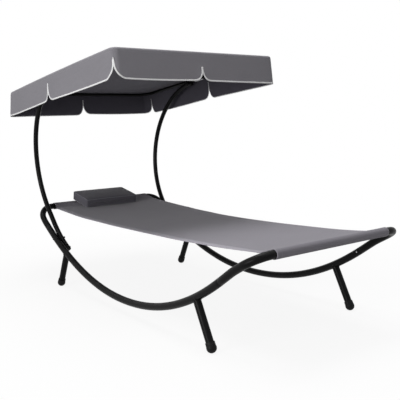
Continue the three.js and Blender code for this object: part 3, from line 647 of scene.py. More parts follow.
def make_joint_screws():
    outside = rounded([(0, -4), (2, -4), (2, 0), (4, 0), (4, 1.1), (2.6, 2.1), (1.5, 2.3)], 0.5)
    screw = turned(outside + [(1.3, 1.2), (0, 1.0)], 24)
    for name, end, side in FRAME_CORNERS:
        reach = end["joint"] - SCREW_SETBACK * math.cos(end["angle"])
        centre = rail_point(end, side, reach) + vec(0, -side * (TUBE_RADIUS - 0.2), 0)
        place = along_axis(centre, (0, -side, 0), rail_tangent(end, side, reach))
        make_piece(f"screw_{name}", placed(screw, place), zinc, f"joint_screw_{name}")


# Legs and feet

COLLAR_RADIUS = 20.5


def leg_direction(end):
    return vec(-end["way"] * math.sin(LEG_SLANT), 0, math.cos(LEG_SLANT))


def ball_centre(end, side):
    return vec(end["way"] * end["foot"], side * RAIL_SIDE, BALL_RADIUS - BALL_FLAT)


def distance_to_line(line, point):
    a, b = line[:-1], line[1:]
    t = np.clip(((point - a) * (b - a)).sum(1) / ((b - a) ** 2).sum(1), 0, 1)
    return np.linalg.norm(a + (b - a) * t[:, None] - point, axis=1).min()


def make_leg(name, end, side):
    """A leg tube coped to the rail, with the bead of the weld round the joint."""
    place = along_axis(ball_centre(end, side), leg_direction(end), (0, 1, 0))
    circle = [vec(*p) for p in ring(TUBE_RADIUS, 0, TUBE_SIDES)]
    heights = np.arange(60, 240, 1.0)
    rail = np.array([rail_point(end, side, r) for r in np.linspace(380, 760, 160)])
    top = []
    for point in circle:
        apart = [distance_to_line(rail, place(point + vec(0, 0, h))) for h in heights]
        nearest = int(np.argmin(apart)) + 1
        apart = np.array(apart[:nearest])
        level = max(TUBE_RADIUS + 0.1, apart[-1])
        top.append(float(np.interp(-level, -apart, heights[:nearest])))
    rows = [[p + vec(0, 0, min(h, t - 8)) for p, t in zip(circle, top)] for h in (6.3, 20, 60, 100)]
    rows.append([p + vec(0, 0, t) for p, t in zip(circle, top)])
    faces = grid_faces(len(rows), TUBE_SIDES) + end_faces(len(rows), TUBE_SIDES)
    seam = []
    for k in range(TUBE_SIDES):
        following = (k + 1) % TUBE_SIDES
        seam.append(circle[k] + vec(0, 0, top[k]))
        seam.append((circle[k] + circle[following]) / 2 * 1.004 + vec(0, 0, (top[k] + top[following]) / 2))
    ripple = [2.5 + 0.35 * math.sin(2 * math.pi * k / 5) + 0.4 * wander(k * 0.31, side, end["way"])
              for k in range(2 * TUBE_SIDES)]
    bead = sweep(place(np.array(seam) + vec(0, 0, -1.0)), ripple, 10, closed=True)
    leg = joined((place(np.array(rows).reshape(-1, 3)), faces), bead)
    make_piece(f"leg_tube_{name}", leg, black_paint, f"leg_{name}")


def make_ball_foot(name, end, side):
    meet = math.acos(COLLAR_RADIUS / BALL_RADIUS)
    profile = [(0.0, -BALL_RADIUS)]
    profile += [(BALL_RADIUS * math.cos(a), BALL_RADIUS * math.sin(a))
                for a in np.linspace(-math.pi / 2, meet, 22)[1:]]
    lip = COLLAR_RADIUS + 0.7
    profile += rounded([profile[-1], (COLLAR_RADIUS, 9.5), (lip, 10.2), (lip, 11.6), (COLLAR_RADIUS, 12.3),
                        (COLLAR_RADIUS, 24), (17.95, 24), (17.95, 6), (0, 6)], 0.9)[1:]
    points, faces = turned(profile, 40)
    points = along_axis(ball_centre(end, side), leg_direction(end), (0, 1, 0))(points)
    points[:, 2] = np.maximum(points[:, 2], 0)
    make_piece(f"foot_{name}", (points, faces), black_plastic, f"ball_foot_{name}")


# Sling

SEAM_REACH = HALF_LENGTH - 74
WRAP_RADIUS = SLEEVE_RADIUS - SLING_PLY / 2
SLING_BELLY = 2.2
HEM_PLY = 0.45


def sling_width(x):
    share = x / HALF_LENGTH
    for (a, wa), (b, wb) in zip(SLING_WIDTHS, SLING_WIDTHS[1:]):
        if share <= b:
            break
    return wa + (wb - wa) * float(smoothstep(share, a, b))


def sling_height(x):
    share = x / SLING_REACH
    return END_TUBE_HEIGHT - SLING_SAG * (1 - share * share)


def sling_line():
    """The sheet's middle line in (x, z): a flap under the sheet, round one tube, over and
    along to the other, round it and back under."""
    seam = vec(SEAM_REACH, sling_height(SEAM_REACH))
    to_centre = vec(HALF_LENGTH, END_TUBE_HEIGHT) - seam
    lean = math.asin(WRAP_RADIUS / np.linalg.norm(to_centre))
    aim = math.atan2(to_centre[1], to_centre[0])
    over, under = aim + lean + math.pi / 2, aim - lean - math.pi / 2
    wrap = arc_points((HALF_LENGTH, END_TUBE_HEIGHT), WRAP_RADIUS, over, under, 30)
    below = vec(0, -SLING_PLY * 1.05)
    flap = [vec(SEAM_REACH - d, sling_height(SEAM_REACH - d)) + below for d in (3, 10, 18, 26)]
    outward = [seam + (wrap[0] - seam) * smoothstep(t, 0, 1) for t in np.linspace(0.15, 0.9, 7)]
    inward = [wrap[-1] + (seam + below - wrap[-1]) * t for t in np.linspace(0.12, 0.92, 7)]
    foot_half = outward + wrap + inward + flap
    middle = [vec(x, sling_height(x)) for x in np.linspace(-SEAM_REACH, SEAM_REACH, 110)]
    head_half = [p * vec(-1, 1) for p in foot_half][::-1]
    return np.array(head_half + middle + foot_half), len(head_half), len(middle)


def held_free(reach):
    """0 by the end tube and 1 where the sheet hangs free."""
    return smoothstep(reach, 28, 150)


def sling_shape(x, y, width):
    """How far the sheet's surface departs from its plain line, in height."""
    edge = width / 2 - abs(y)
    free = held_free(HALF_LENGTH - abs(x))
    droop = -4.6 * (1 - min(edge / 46, 1)) ** 2 * free
    belly = -SLING_BELLY * (1 - (2 * y / width) ** 2) * free
    under_pillow = 1 - smoothstep(math.hypot((x + 900) / 190, (y + 16) / 260), 0.8, 1.3)
    pull = 0.0
    for end, side in ((-1, 1), (-1, -1), (1, 1), (1, -1)):
        reach = HALF_LENGTH - end * x
        ray = side * y - 300 - 0.10 * reach
        pull += 1.5 * math.exp(-(reach - 130) ** 2 / 9000) * math.sin(ray / 11.0) * math.exp(-(ray / 42) ** 2)
    folds = 1.3 * wander(x / 240, y / 30, 3.1) * (1 - min(edge / 200, 1)) ** 2
    soft = 1.2 * wander(x / 210, y / 150, 7.7)
    crease = 1.8 * math.exp(-((x + 500 - 0.5 * (y - 320)) / 14) ** 2) * smoothstep(y, 225, 330)
    crease += 1.3 * math.exp(-((x + 455 - 0.4 * (y - 320)) / 11) ** 2) * smoothstep(y, 250, 330)
    return droop + belly + (pull + folds + soft + crease) * free * (1 - under_pillow)


def make_sling():
    line, lead, middle = sling_line()
    run = lengths_along(line)
    tangents = np.gradient(line, axis=0)
    tangents /= np.linalg.norm(tangents, axis=1)[:, None]
    normals = np.stack([-tangents[:, 1], tangents[:, 0]], 1)
    shares = np.concatenate([np.linspace(-1, -0.9, 8), np.linspace(-0.88, 0.88, 45), np.linspace(0.9, 1, 8)])
    points, border = [], []
    for facing in (1, -1):
        for i, ((x, z), n) in enumerate(zip(line, normals)):
            width = sling_width(x)
            shaped = lead <= i < lead + middle or abs(x) < SEAM_REACH + 1
            slip = SLEEVE_SLIP * float(smoothstep(x, 250, 900))
            for share in shares:
                y = share * width / 2
                edge = width / 2 - abs(y)
                rise = sling_shape(x, y, width) if shaped else 0.0
                half = SLING_PLY / 2 + HEM_PLY * (1 - smoothstep(edge, 26.5, 29.5))
                points.append((x + facing * half * n[0], y - slip, z + facing * half * n[1] + rise))
                border.append((edge * MM, run[i] * MM))
    rows, columns = len(line), len(shares)
    under = rows * columns
    faces = flipped(grid_faces(rows, columns, False)) + grid_faces(rows, columns, False, start=under)
    last = under - columns
    for c in range(columns - 1):
        faces.append((c, c + 1, under + c + 1, under + c))
        faces.append((last + c + 1, last + c, under + last + c, under + last + c + 1))
    for r in range(rows - 1):
        a, b = r * columns, (r + 1) * columns
        faces.append((b, a, under + a, under + b))
        a, b = a + columns - 1, b + columns - 1
        faces.append((a, b, under + b, under + a))
    sling_cloth = woven("sling_cloth", grey(0.217, 0.05, 0.13), 0.0017, rows=(0.0245, 0.0275), edge=0.0025,
                        hem=(0.028, run[lead] * MM, run[lead + middle - 1] * MM))
    sling = make_piece("sling_sheet", (np.array(points), faces), (sling_cloth, "sling_fabric"), "sling",
                       sharp=None, border=border)


# Pillow

VOXEL = 0.0038
CLOTH_PRESSURE = 4.0
CLOTH_FRAMES = 20
CLOTH_CAP = 0.005
WELT_RADIUS = 1.8
WELT_CORNER = 9


def pillow_pose():
    """The matrix from the pillow's own metres to the model's."""
    low = sling_height(PILLOW_REACH) + 1 + GAP
    to_sleeve = vec(HALF_LENGTH - PILLOW_REACH, END_TUBE_HEIGHT - low)
    along = 2 * np.linalg.norm(to_sleeve) / PILLOW[0] - 1
    crown = PILLOW_BOTTOM_CROWN * (1 - along * along)
    slope = math.atan2(to_sleeve[1], to_sleeve[0])
    slope += math.asin((SLEEVE_RADIUS + GAP + crown) / np.linalg.norm(to_sleeve))
    turn = Matrix.Rotation(slope, 4, "Y")
    foot = Vector((-PILLOW_REACH + MODEL_SHIFT, -PILLOW_SHIFT, low)) * MM
    middle = turn @ (Vector((-PILLOW[0] / 2, 0, PILLOW[2] / 2)) * MM)
    return Matrix.Translation(foot + middle) @ turn


def sheet_top(x, y):
    """The height under the pillow: the sling, its slope up to the sleeve, or the sleeve."""
    reach = HALF_LENGTH - abs(x)
    if reach < WRAP_RADIUS + 1:
        return END_TUBE_HEIGHT + math.sqrt(max((WRAP_RADIUS + 0.7) ** 2 - reach ** 2, 0))
    return sling_height(x) - SLING_BELLY * float(held_free(reach)) * (1 - (y / 350) ** 2) + 0.7


def pillow_block(length, width, height, cuts):
    """A sewn box: plan drawn in between the corners, domed above and less below."""
    grid = bmesh.new()
    bmesh.ops.create_grid(grid, x_segments=cuts[0], y_segments=cuts[1], size=1)
    plan = [(v.co.x, v.co.y) for v in grid.verts]
    cells = [tuple(v.index for v in f.verts) for f in grid.faces]
    rim = [v.index for v in grid.verts if v.is_boundary]
    grid.free()
    points, faces = [], []

    def spot(u, v, w):
        dome = (1 - u * u) * (1 - v * v)
        pull = 2.2 * (1 - w * w * 0.7)
        corner = 2.5 * abs(u * v) ** 12
        rise = 8.0 * math.sqrt(max(dome, 0)) if w > 0 else 5.0 * dome
        return (
            u * (length / 2 - pull * (1 - v * v) - corner),
            v * (width / 2 - pull * (1 - u * u) - corner),
            w * (height / 2 + rise),
        )

    for w in (1, -1):
        start = len(points)
        points += [spot(u, v, w) for u, v in plan]
        faces += [tuple(start + i for i in (c if w > 0 else c[::-1])) for c in cells]
    order = sorted(rim, key=lambda i: math.atan2(plan[i][1], plan[i][0]))
    rows = [order]
    for w in (0.6, 0.2, -0.2, -0.6):
        rows.append(range(len(points), len(points) + len(order)))
        points += [spot(*plan[i], w) for i in order]
    rows.append([len(plan) + i for i in order])
    for a, b in zip(rows, rows[1:]):
        for k in range(len(order)):
            j = (k + 1) % len(order)
            faces.append((a[k], b[k], b[j], a[j]))
    return points, faces


def coordinates(mesh):
    made = np.zeros(len(mesh.vertices) * 3)
    mesh.vertices.foreach_get("co", made)
    return made.reshape(-1, 3)


def set_coordinates(mesh, made):
    mesh.vertices.foreach_set("co", made.ravel())
    mesh.update()


def evaluated(piece):
    return piece.evaluated_get(bpy.context.evaluated_depsgraph_get())


def swell(piece):
    """Blows the closed cloth up a little, and keeps what it gives as the mesh."""
    start = coordinates(piece.data)
    group = piece.vertex_groups.new(name="seams")
    for v in piece.data.vertices:
        rim = min(PILLOW[0] * MM / 2 - abs(v.co.x), PILLOW[1] * MM / 2 - abs(v.co.y))
        seam = abs(v.co.z) > (PILLOW[2] / 2 - 5) * MM and rim < 0.0055
        group.add([v.index], 1.0 if seam else 0.0, "REPLACE")
    cloth = piece.modifiers.new("Cloth", "CLOTH")
    cloth.settings.quality = 6
    cloth.settings.mass = 0.3
    cloth.settings.use_pressure = True
    cloth.settings.uniform_pressure_force = CLOTH_PRESSURE
    cloth.settings.effector_weights.gravity = 0
    cloth.settings.vertex_group_mass = "seams"
    cloth.settings.pin_stiffness = 1.0
    cloth.collision_settings.use_collision = False
    cloth.point_cache.frame_start, cloth.point_cache.frame_end = 1, CLOTH_FRAMES
    scene = bpy.context.scene
    for f in range(1, CLOTH_FRAMES + 1):
        scene.frame_set(f)
    moved = coordinates(evaluated(piece).data) - start
    far = np.linalg.norm(moved, axis=1)
    moved *= (np.minimum(far, CLOTH_CAP) / np.maximum(far, 1e-9))[:, None]
    piece.modifiers.remove(cloth)
    scene.frame_set(1)
    set_coordinates(piece.data, start + moved)


def apply_modifiers(piece):
    mesh = bpy.data.meshes.new_from_object(evaluated(piece))
    piece.modifiers.clear()
    piece.data = mesh


def fit_pillow(pad):
    """Scales the pad in its own frame to the pillow's measured size."""
    co = coordinates(pad.data)
    half = vec(PILLOW[0] - 1.5, PILLOW[1] - 1.5, PILLOW[2]) / 2 * MM
    top, bottom = (PILLOW_TOP_CROWN - 2.5) * MM, (PILLOW_BOTTOM_CROWN - 1) * MM
    for axis in (0, 1):
        co[:, axis] *= half[axis] / np.abs(co[:, axis]).max()
    up = co[:, 2] > 0
    co[up, 2] *= (half[2] + top) / co[:, 2].max()
    co[~up, 2] *= (half[2] + bottom) / -co[:, 2].min()
    set_coordinates(pad.data, co)


def make_pillow():
    points, faces = pillow_block(PILLOW[0] - 2, PILLOW[1] - 2, PILLOW[2] - 1, (26, 46))
    mesh = bpy.data.meshes.new("pillow_pad")
    mesh.from_pydata((np.array(points) * MM).tolist(), [], faces)
    pad = new_object("pillow_pad", mesh)
    smooth = pad.modifiers.new("Bevel", "BEVEL")
    smooth.width, smooth.segments, smooth.angle_limit = 0.0022, 2, math.radians(50)
    voxels = pad.modifiers.new("Remesh", "REMESH")
    voxels.mode, voxels.voxel_size = "VOXEL", VOXEL
    apply_modifiers(pad)
    swell(pad)
    fit_pillow(pad)
    relax = pad.modifiers.new("Smooth", "CORRECTIVE_SMOOTH")
    relax.factor, relax.iterations, relax.use_only_smooth = 0.4, 2, True
    finer = pad.modifiers.new("Subdivision", "SUBSURF")
    finer.levels = finer.render_levels = 1
    apply_modifiers(pad)

    pose = pillow_pose()
    co = coordinates(pad.data)
    for i, (x, y, z) in enumerate(co):
        wrinkle = 0.0007 * wander(x * 26, y * 16, 5.0) + 0.0004 * wander(x * 70, y * 60, z * 40)
        edge = min(1.0, (PILLOW[1] * MM / 2 - abs(y)) / 0.04)
        wrinkle += 0.0006 * (1 - edge) * wander(y * 20, x * 130, 2.0)
        roll = 0.0045 * math.exp(-((PILLOW[0] * MM / 2 - x) / 0.011) ** 2) if z > 0 else 0.0
        co[i, 2] += wrinkle * (1 if z > 0 else 0.3) - roll
    world = co @ np.array(pose.to_3x3()).T + np.array(pose.translation)
    for p in world:
        work = from_model(p)
        p[2] = max(p[2], (sheet_top(work[0], work[1]) + 0.35) * MM)
    pad.data.materials.clear()
    pad.data.materials.append(pillow_cloth)
    pad.data.polygons.foreach_set("use_smooth", [True] * len(pad.data.polygons))
    set_coordinates(pad.data, world)
    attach(pad, "pillow")
    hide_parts("pillow")
    make_welts(pad, pose)


def make_welts(pad, pose):
    """The two sewn welts round the pillow's top and bottom edges, in a paler cloth that is a painted
    highlight.
    """
    vertices, polygons = pad.data.vertices, pad.data.polygons
    tree = BVHTree.FromPolygons([v.co for v in vertices], [tuple(p.vertices) for p in polygons])
    length, width, height = (s / 2 - 1.5 for s in PILLOW)
    outline = []
    for sx, sy, turn in ((1, 1, 0), (-1, 1, 90), (-1, -1, 180), (1, -1, 270)):
        centre = (sx * (length - WELT_CORNER), sy * (width - WELT_CORNER))
        outline += arc_points(centre, WELT_CORNER, math.radians(turn), math.radians(turn + 90), 6)
    outline = split_long(np.array([*outline, outline[0]]), 4)[:-1]
    for level, word in ((1, "top"), (-1, "bottom")):
        path = []
        for x, y in outline:
            start = pose @ (Vector((x * 1.02, y * 1.01, level * (height + 2.5))) * MM)
            path.append(from_model(np.array(tree.find_nearest(start)[0])))
        path = np.array(path)
        for _ in range(3):
            path = (np.roll(path, 1, 0) + 2 * path + np.roll(path, -1, 0)) / 4
        for p in path:
            p[2] = max(p[2], sheet_top(p[0], p[1]) + 1.9)
        make_piece(f"pillow_welt_{word}", sweep(path, WELT_RADIUS, 10, closed=True), welt_painted_highlight,
                   body="pillow", sharp=None)


# Canopy poles, their caps and their bolts

POLE_FOOT_HEIGHT = rail_xz(HEAD, POLE_END)[1] + POLE_RISE
POLE_BEYOND_PIVOT = 18
POLE_FOOT_LEAN = math.radians(4)
POLE_HANDLES = (150, 80)
CAP_RADIUS = POLE_RADIUS - 0.5
BOLT_SETBACKS = (("lower", 22), ("upper", 100))
BOLT_CROWN = ((0, 3.5), (3.4, 3.3), (5.2, 1.9), (5.5, 0.8))
TILT_BOLT_CROWN = ((0, 3.4), (3.2, 3.3), (5.1, 2.0), (5.5, 0.9))
SADDLE_SIDES = 30
SEAT = 0.12


def bezier(a, b, c, d, t):
    return (1 - t) ** 3 * a + 3 * t * (1 - t) ** 2 * b + 3 * t * t * (1 - t) * c + t ** 3 * d


def pole_side(height):
    share = (height - POLE_FOOT_HEIGHT) / (PIVOT_HEIGHT - POLE_FOOT_HEIGHT)
    return RAIL_SIDE - POLE_INSET + (POLE_TOP_SIDE - RAIL_SIDE + POLE_INSET) * share


def pole_path(side):
    """The middle line of a pole, and how many points its straighter lower part has."""
    tangent = rail_tangent(HEAD, 1, POLE_END)
    angle = math.atan2(tangent[2], -tangent[0]) + POLE_FOOT_LEAN
    end = vec(-POLE_END, POLE_FOOT_HEIGHT)
    start = vec(*ARC_CENTRE) + ARC_RADIUS * vec(math.cos(ARC_START), math.sin(ARC_START))
    away = end + POLE_HANDLES[0] * vec(-math.cos(angle), math.sin(angle))
    back = start + POLE_HANDLES[1] * vec(-math.sin(ARC_START), math.cos(ARC_START))
    lower = [bezier(end, away, back, start, t) for t in np.linspace(0, 1, 28)]
    rise = math.sqrt(ARC_RADIUS ** 2 - (PIVOT_REACH + ARC_CENTRE[0]) ** 2)
    finish = math.pi - math.asin(rise / ARC_RADIUS) - POLE_BEYOND_PIVOT / ARC_RADIUS
    arc = arc_points(ARC_CENTRE, ARC_RADIUS, ARC_START, finish, 64)
    return np.array([vec(x, side * pole_side(z), z) for x, z in lower + arc[1:]]), len(lower)


def make_poles():
    profile = rounded([(0, 0.1), (CAP_RADIUS, 0.1), (CAP_RADIUS, 1.9), (9.6, 3.1), (0, 3.5)], 1.2, 5)
    cap = turned(profile, 32)
    for word, side in SIDES:
        path, _ = pole_path(side)
        make_piece(f"pole_tube_{word}", sweep(path, POLE_RADIUS, 26, bevel=0.6), black_paint,
                   f"canopy_pole_{word}")
        for level, tip, inner in (("lower", path[0], path[1]), ("upper", path[-1], path[-2])):
            make_piece(f"cap_{level}_{word}", placed(cap, along_axis(tip, tip - inner)), black_plastic,
                       f"pole_cap_{level}_{word}")


def hexagon_nut(foot, height, across, dome):
    """A hexagonal cap nut along Z: chamfered flats below a dome."""
    half, top = across / 2, foot + height - dome
    sixth = math.pi / 3

    def level(limit, z):
        return ring(lambda a: min(half / math.cos((a + sixth / 2) % sixth - sixth / 2), limit), z, 36)

    corner = half / math.cos(sixth / 2)
    rings = [level(half * 0.97, foot), level(corner, foot + 0.7), level(corner, top - 0.7),
             level(half * 0.97, top)]
    for a in np.radians([0, 20, 40, 60, 75]):
        rings.append(level(half * 0.86 * math.cos(a), top + dome * math.sin(a)))
    return fanned(rings, foot + height, foot)


def bolt(crown, under, tip):
    """A bolt along Z: a head, its crown given as radii and heights above its foot, and a shank."""
    head = [(r, under - h) for r, h in crown] + [(5.5, under), (0, under)]
    shank = [(0, under - 0.2), (3, under - 0.2), (3, tip), (0, tip)]
    return joined(turned(rounded(head, 0.5), 28), turned(shank, 20))


def bolt_place(side, setback):
    path, lower = pole_path(side)
    run = lengths_along(path[:lower])
    on_pole = vec(*(np.interp(setback, run, path[:lower, k]) for k in range(3)))
    line = np.array([rail_point(HEAD, side, r) for r in np.linspace(560, 820, 1200)])
    return on_pole, line[np.linalg.norm(line - on_pole, axis=1).argmin()]


def make_pole_bolts():
    for word, side in SIDES:
        for level, setback in BOLT_SETBACKS:
            name = f"{level}_{word}"
            on_pole, on_rail = bolt_place(side, setback)
            spacing = np.linalg.norm(on_pole - on_rail)
            place = along_axis(on_rail, on_pole - on_rail, rail_tangent(HEAD, side, -on_rail[0]))
            shape = bolt(BOLT_CROWN, -TUBE_RADIUS - 0.1, spacing + POLE_RADIUS + 6)
            make_piece(f"bolt_{name}", placed(shape, place), dark_steel, f"pole_bolt_{name}")
            nut = hexagon_nut(spacing + POLE_RADIUS + 0.1, 9.2, 10.2, 3.4)
            make_piece(f"nut_{name}", placed(nut, place), dark_steel, f"pole_nut_{name}")
            make_saddle(name, side, -on_rail[0], place, spacing)


def make_saddle(name, side, reach, place, spacing):
    """The spacer between rail and pole, hollowed to both."""
    path, lower = pole_path(side)
    near = path[:lower + 4]
    rail_line = np.array([rail_point(HEAD, side, r) for r in np.linspace(reach - 60, reach + 60, 60)])

    def height(spot, line, radius, low, high, rising):
        for _ in range(22):
            middle = (low + high) / 2
            inside = distance_to_line(line, place(spot + vec(0, 0, middle))) < radius
            if inside == rising:
                low = middle
            else:
                high = middle
        return (low + high) / 2

    bottom, top = [], []
    for share in (0.35, 0.7, 0.95, 1.0):
        bottom.append([])
        top.append([])
        for x, y, _ in ring(10 * share, 0, SADDLE_SIDES):
            spot = vec(x, y, 0)
            low = height(spot, rail_line, TUBE_RADIUS + SEAT, 0, spacing / 2 + 3, True)
            high = height(spot, near, POLE_RADIUS + SEAT, spacing / 2 - 3, spacing, False)
            bottom[-1].append(spot + vec(0, 0, min(low, high - 0.4)))
            top[-1].append(spot + vec(0, 0, high))
    saddle = fanned(bottom + top[::-1], spacing - POLE_RADIUS - SEAT, TUBE_RADIUS + SEAT)
    make_piece(f"saddle_{name}", placed(saddle, place), black_plastic, f"pole_spacer_{name}")


# Canopy frame and pivots

CANOPY_TUBE_BEND = 90
PLATE_HALF = 17
PLATE_LOW = -12
PLATE_CORNER = 6
PLATE_BEVEL = ((0, 0.45), (0.15, 0.12), (0.45, 0))
BOLT_IN_KNOB = 12
KNOB_RADIUS = 17
KNOB_LOBE_DEPTH = 3
KNOB_LOBES = 6
KNOB_HEIGHT = 20


def roof_stand(x):
    """How far the roof's frame bows up, at a distance from its middle along the lounger."""
    return ROOF_STAND + ROOF_CROWN * (1 - (2 * x / CANOPY_LENGTH) ** 2)


def make_canopy_tubes():
    height = ROOF_RISE - TUBE_INSET
    for end in (HEAD, FOOT):
        start = CANOPY_MIDDLE + end["way"] * GAP / 2
        finish = CANOPY_MIDDLE + end["way"] * (CANOPY_LENGTH / 2 - TUBE_INSET)
        corners = [vec(x, side * CANOPY_TUBE_SIDE, height)
                   for x, side in ((start, 1), (finish, 1), (finish, -1), (start, -1))]
        path = split_long(bent_path(corners, [CANOPY_TUBE_BEND] * 2), 40)
        path = np.array([vec(x, y, z + roof_stand(x - CANOPY_MIDDLE)) for x, y, z in path])
        tube = sweep(from_canopy(path), CANOPY_TUBE_RADIUS, 22, bevel=0.5)
        make_piece(f"canopy_tube_{end['name']}", tube, black_paint, f"canopy_{end['name']}_tube", "canopy")


def plate_outline():
    top = ROOF_RISE - TUBE_INSET + CANOPY_TUBE_RADIUS / 2 + roof_stand(CANOPY_MIDDLE)
    outline = [vec(PLATE_HALF, top), vec(-PLATE_HALF, top)]
    for side, start in ((-1, math.pi), (1, 1.5 * math.pi)):
        centre = (side * (PLATE_HALF - PLATE_CORNER), PLATE_LOW + PLATE_CORNER)
        outline += arc_points(centre, PLATE_CORNER, start, start + math.pi / 2, 8)
    return np.array(outline)


def make_pivots():
    outline = plate_outline()
    middle = outline.mean(0)
    bevels = [*PLATE_BEVEL, *((PLATE_THICKNESS - offset, inset) for offset, inset in PLATE_BEVEL[::-1])]
    foot = POLE_TOP_SIDE - POLE_RADIUS - GAP
    for word, side in SIDES:
        rows = []
        for offset, inset in bevels:
            shrunk = middle + (outline - middle) * (1 - inset / PLATE_HALF)
            rows.append([vec(x, side * (PLATE_FACE - PLATE_THICKNESS + offset), z) for x, z in shrunk])
        faces = grid_faces(len(rows), len(outline)) + end_faces(len(rows), len(outline))
        plate = from_canopy(np.array(rows).reshape(-1, 3)), flipped(faces) if side > 0 else faces
        make_piece(f"plate_{word}", plate, black_paint, f"pivot_plate_{word}", "canopy")

        head = PLATE_FACE + 0.1
        inward = from_canopy(vec(0, -side, 0)) - from_canopy(vec(0, 0, 0))
        place = along_axis(from_canopy(vec(0, side * head, 0)), inward, (0, 0, 1))
        shape = bolt(TILT_BOLT_CROWN, 0, head - (foot - BOLT_IN_KNOB))
        make_piece(f"pivot_bolt_{word}", placed(shape, place), zinc, f"tilt_bolt_{word}", "canopy")
        place = along_axis(from_canopy(vec(0, side * foot, 0)), inward, (0, 0, 1))
        make_piece(f"knob_{word}", placed(knob(), place), black_plastic, f"tilt_knob_{word}",
                   f"{word}_knob")


def knob():
    """A lobed hand knob along Z with a hub at its foot and a dished face."""
    def level(scale, z, lobes):
        return ring(lambda a: (KNOB_RADIUS - KNOB_LOBE_DEPTH * lobes * (1 - math.cos(KNOB_LOBES * a)) / 2)
                    * scale, z, 72)

    levels = ((0.42, 0, 0), (0.51, 0.5, 0), (0.53, 1.2, 0), (0.53, 6.6, 0), (0.6, 7.0, 0.4), (0.93, 7.1, 1),
              (0.975, 7.6, 1), (1.0, 8.6, 1), (1.0, 18, 1), (0.975, 19.1, 1), (0.93, 19.7, 1),
              (0.72, 19.95, 0.6), (0.68, 19.4, 0.4), (0.45, 19.3, 0.1), (0.42, 19.9, 0), (0.2, 20, 0))
    return fanned([level(*values) for values in levels], KNOB_HEIGHT, 0)


# Canopy cloth

CORNER_RUN = CLOTH_CORNER * math.pi / 2
SIDE_RUN = CANOPY_LENGTH - 2 * CLOTH_CORNER
END_RUN = CANOPY_WIDTH - 2 * CLOTH_CORNER
HALF_ROUND = SIDE_RUN + END_RUN + 2 * CORNER_RUN
FULL_ROUND = 2 * HALF_ROUND
SIDE_NOTCH = CORNER_RUN / 2 + SIDE_RUN / 2 + SIDE_NOTCH_SLIP
END_NOTCH = CORNER_RUN * 1.5 + SIDE_RUN + END_RUN / 2 + END_NOTCH_SLIP
NOTCHES = (0, SIDE_NOTCH, END_NOTCH, HALF_ROUND + HEAD_FAR_SLIP, SIDE_NOTCH + HALF_ROUND,
           END_NOTCH + HALF_ROUND, FULL_ROUND)
CORNERS = (0, CORNER_RUN + SIDE_RUN, HALF_ROUND, HALF_ROUND + CORNER_RUN + SIDE_RUN, FULL_ROUND)
VALANCE_FLARE = 3.0
CORNER_FLARE = 12
CORNER_FLARE_REACH = 70
BINDING_SECTION = ((1.2, -1.15), (-0.9, -1.2), (-1.9, -0.5), (-2.1, 0.6), (-1.4, 1.7), (0.4, 2.1),
                   (4.0, 2.0), (5.2, 1.5), (5.4, 0.7))


def edge_at(distance):
    """A point of the roof's edge about its middle, and the direction outwards there."""
    x, y = CANOPY_LENGTH / 2 - CLOTH_CORNER, CANOPY_WIDTH / 2 - CLOTH_CORNER
    rest = (distance + CORNER_RUN / 2) % FULL_ROUND
    for centre, turn, run, go in (
        ((x, -y), 0, SIDE_RUN, (-1, 0)), ((-x, -y), -90, END_RUN, (0, 1)),
        ((-x, y), -180, SIDE_RUN, (1, 0)), ((x, y), -270, END_RUN, (0, -1)),
    ):
        if rest <= CORNER_RUN:
            a = math.radians(turn) - rest / CLOTH_CORNER
            out = vec(math.cos(a), math.sin(a))
            return vec(*centre) + CLOTH_CORNER * out, out
        rest -= CORNER_RUN
        out = vec(math.cos(math.radians(turn - 90)), math.sin(math.radians(turn - 90)))
        if rest <= run:
            return vec(*centre) + CLOTH_CORNER * out + rest * vec(*go), out
        rest -= run
    return edge_at(distance - 1e-6)


def valance_depth(distance):
    for i, (start, end) in enumerate(zip(NOTCHES, NOTCHES[1:])):
        if distance <= end:
            break
    deepest = SCALLOP_DEPTHS[i]
    near = min(distance - start, end - distance)
    top = NOTCH_TOPS[i if distance - start <= end - distance else (i + 1) % len(NOTCH_TOPS)]
    full = deepest + VALANCE_BELLY * math.sin(math.pi * (distance - start) / (end - start))
    share = min(max(near, 0) / NOTCH_HALF, 1)
    fall = (1 - (1 - share) ** NOTCH_ROUNDNESS) ** (1 / NOTCH_ROUNDNESS)
    return top + (full - top) * fall, near


def cloth_stations():
    places = list(NOTCHES[:-1])
    for t in np.linspace(0, 1, 19)[1:]:
        off = NOTCH_HALF * t ** 2.6
        places += [n + s * off for n in NOTCHES[:-1] for s in (-1, 1)]
    for s in np.linspace(-0.5, 0.5, 15):
        places += [c + s * CORNER_RUN for c in CORNERS[:-1]]
    places = sorted(p % FULL_ROUND for p in places)
    stations = []
    for p in [*places, FULL_ROUND]:
        if stations:
            pieces = max(1, math.ceil((p - stations[-1]) / 13))
            first = stations[-1]
            stations += [first + (p - first) * k / pieces for k in range(1, pieces)]
        if p < FULL_ROUND - 0.01:
            if not stations or p - stations[-1] > 0.02:
                stations.append(p)
            elif any(abs(p - n) < 1e-6 for n in NOTCHES[:-1]):
                stations[-1] = p
    return stations


def roof_sag(x, y):
    """How far the taut roof hangs below its frame, with faint folds pulled to the corners."""
    u, v = x / (CANOPY_LENGTH / 2 - 12), y / (CANOPY_WIDTH / 2 - 12)
    hang = max(0, (1 - u * u)) * max(0, (1 - v * v))
    diagonal = abs(abs(u) - abs(v))
    pull = 1.6 * math.sin(abs(u * v) * 26) * math.exp(-(diagonal / 0.22) ** 2) * min(1, hang * 3)
    return 15 * hang ** 0.8 + pull + 1.1 * wander(x / 170, y / 170, 1.7) * min(1, hang * 3)


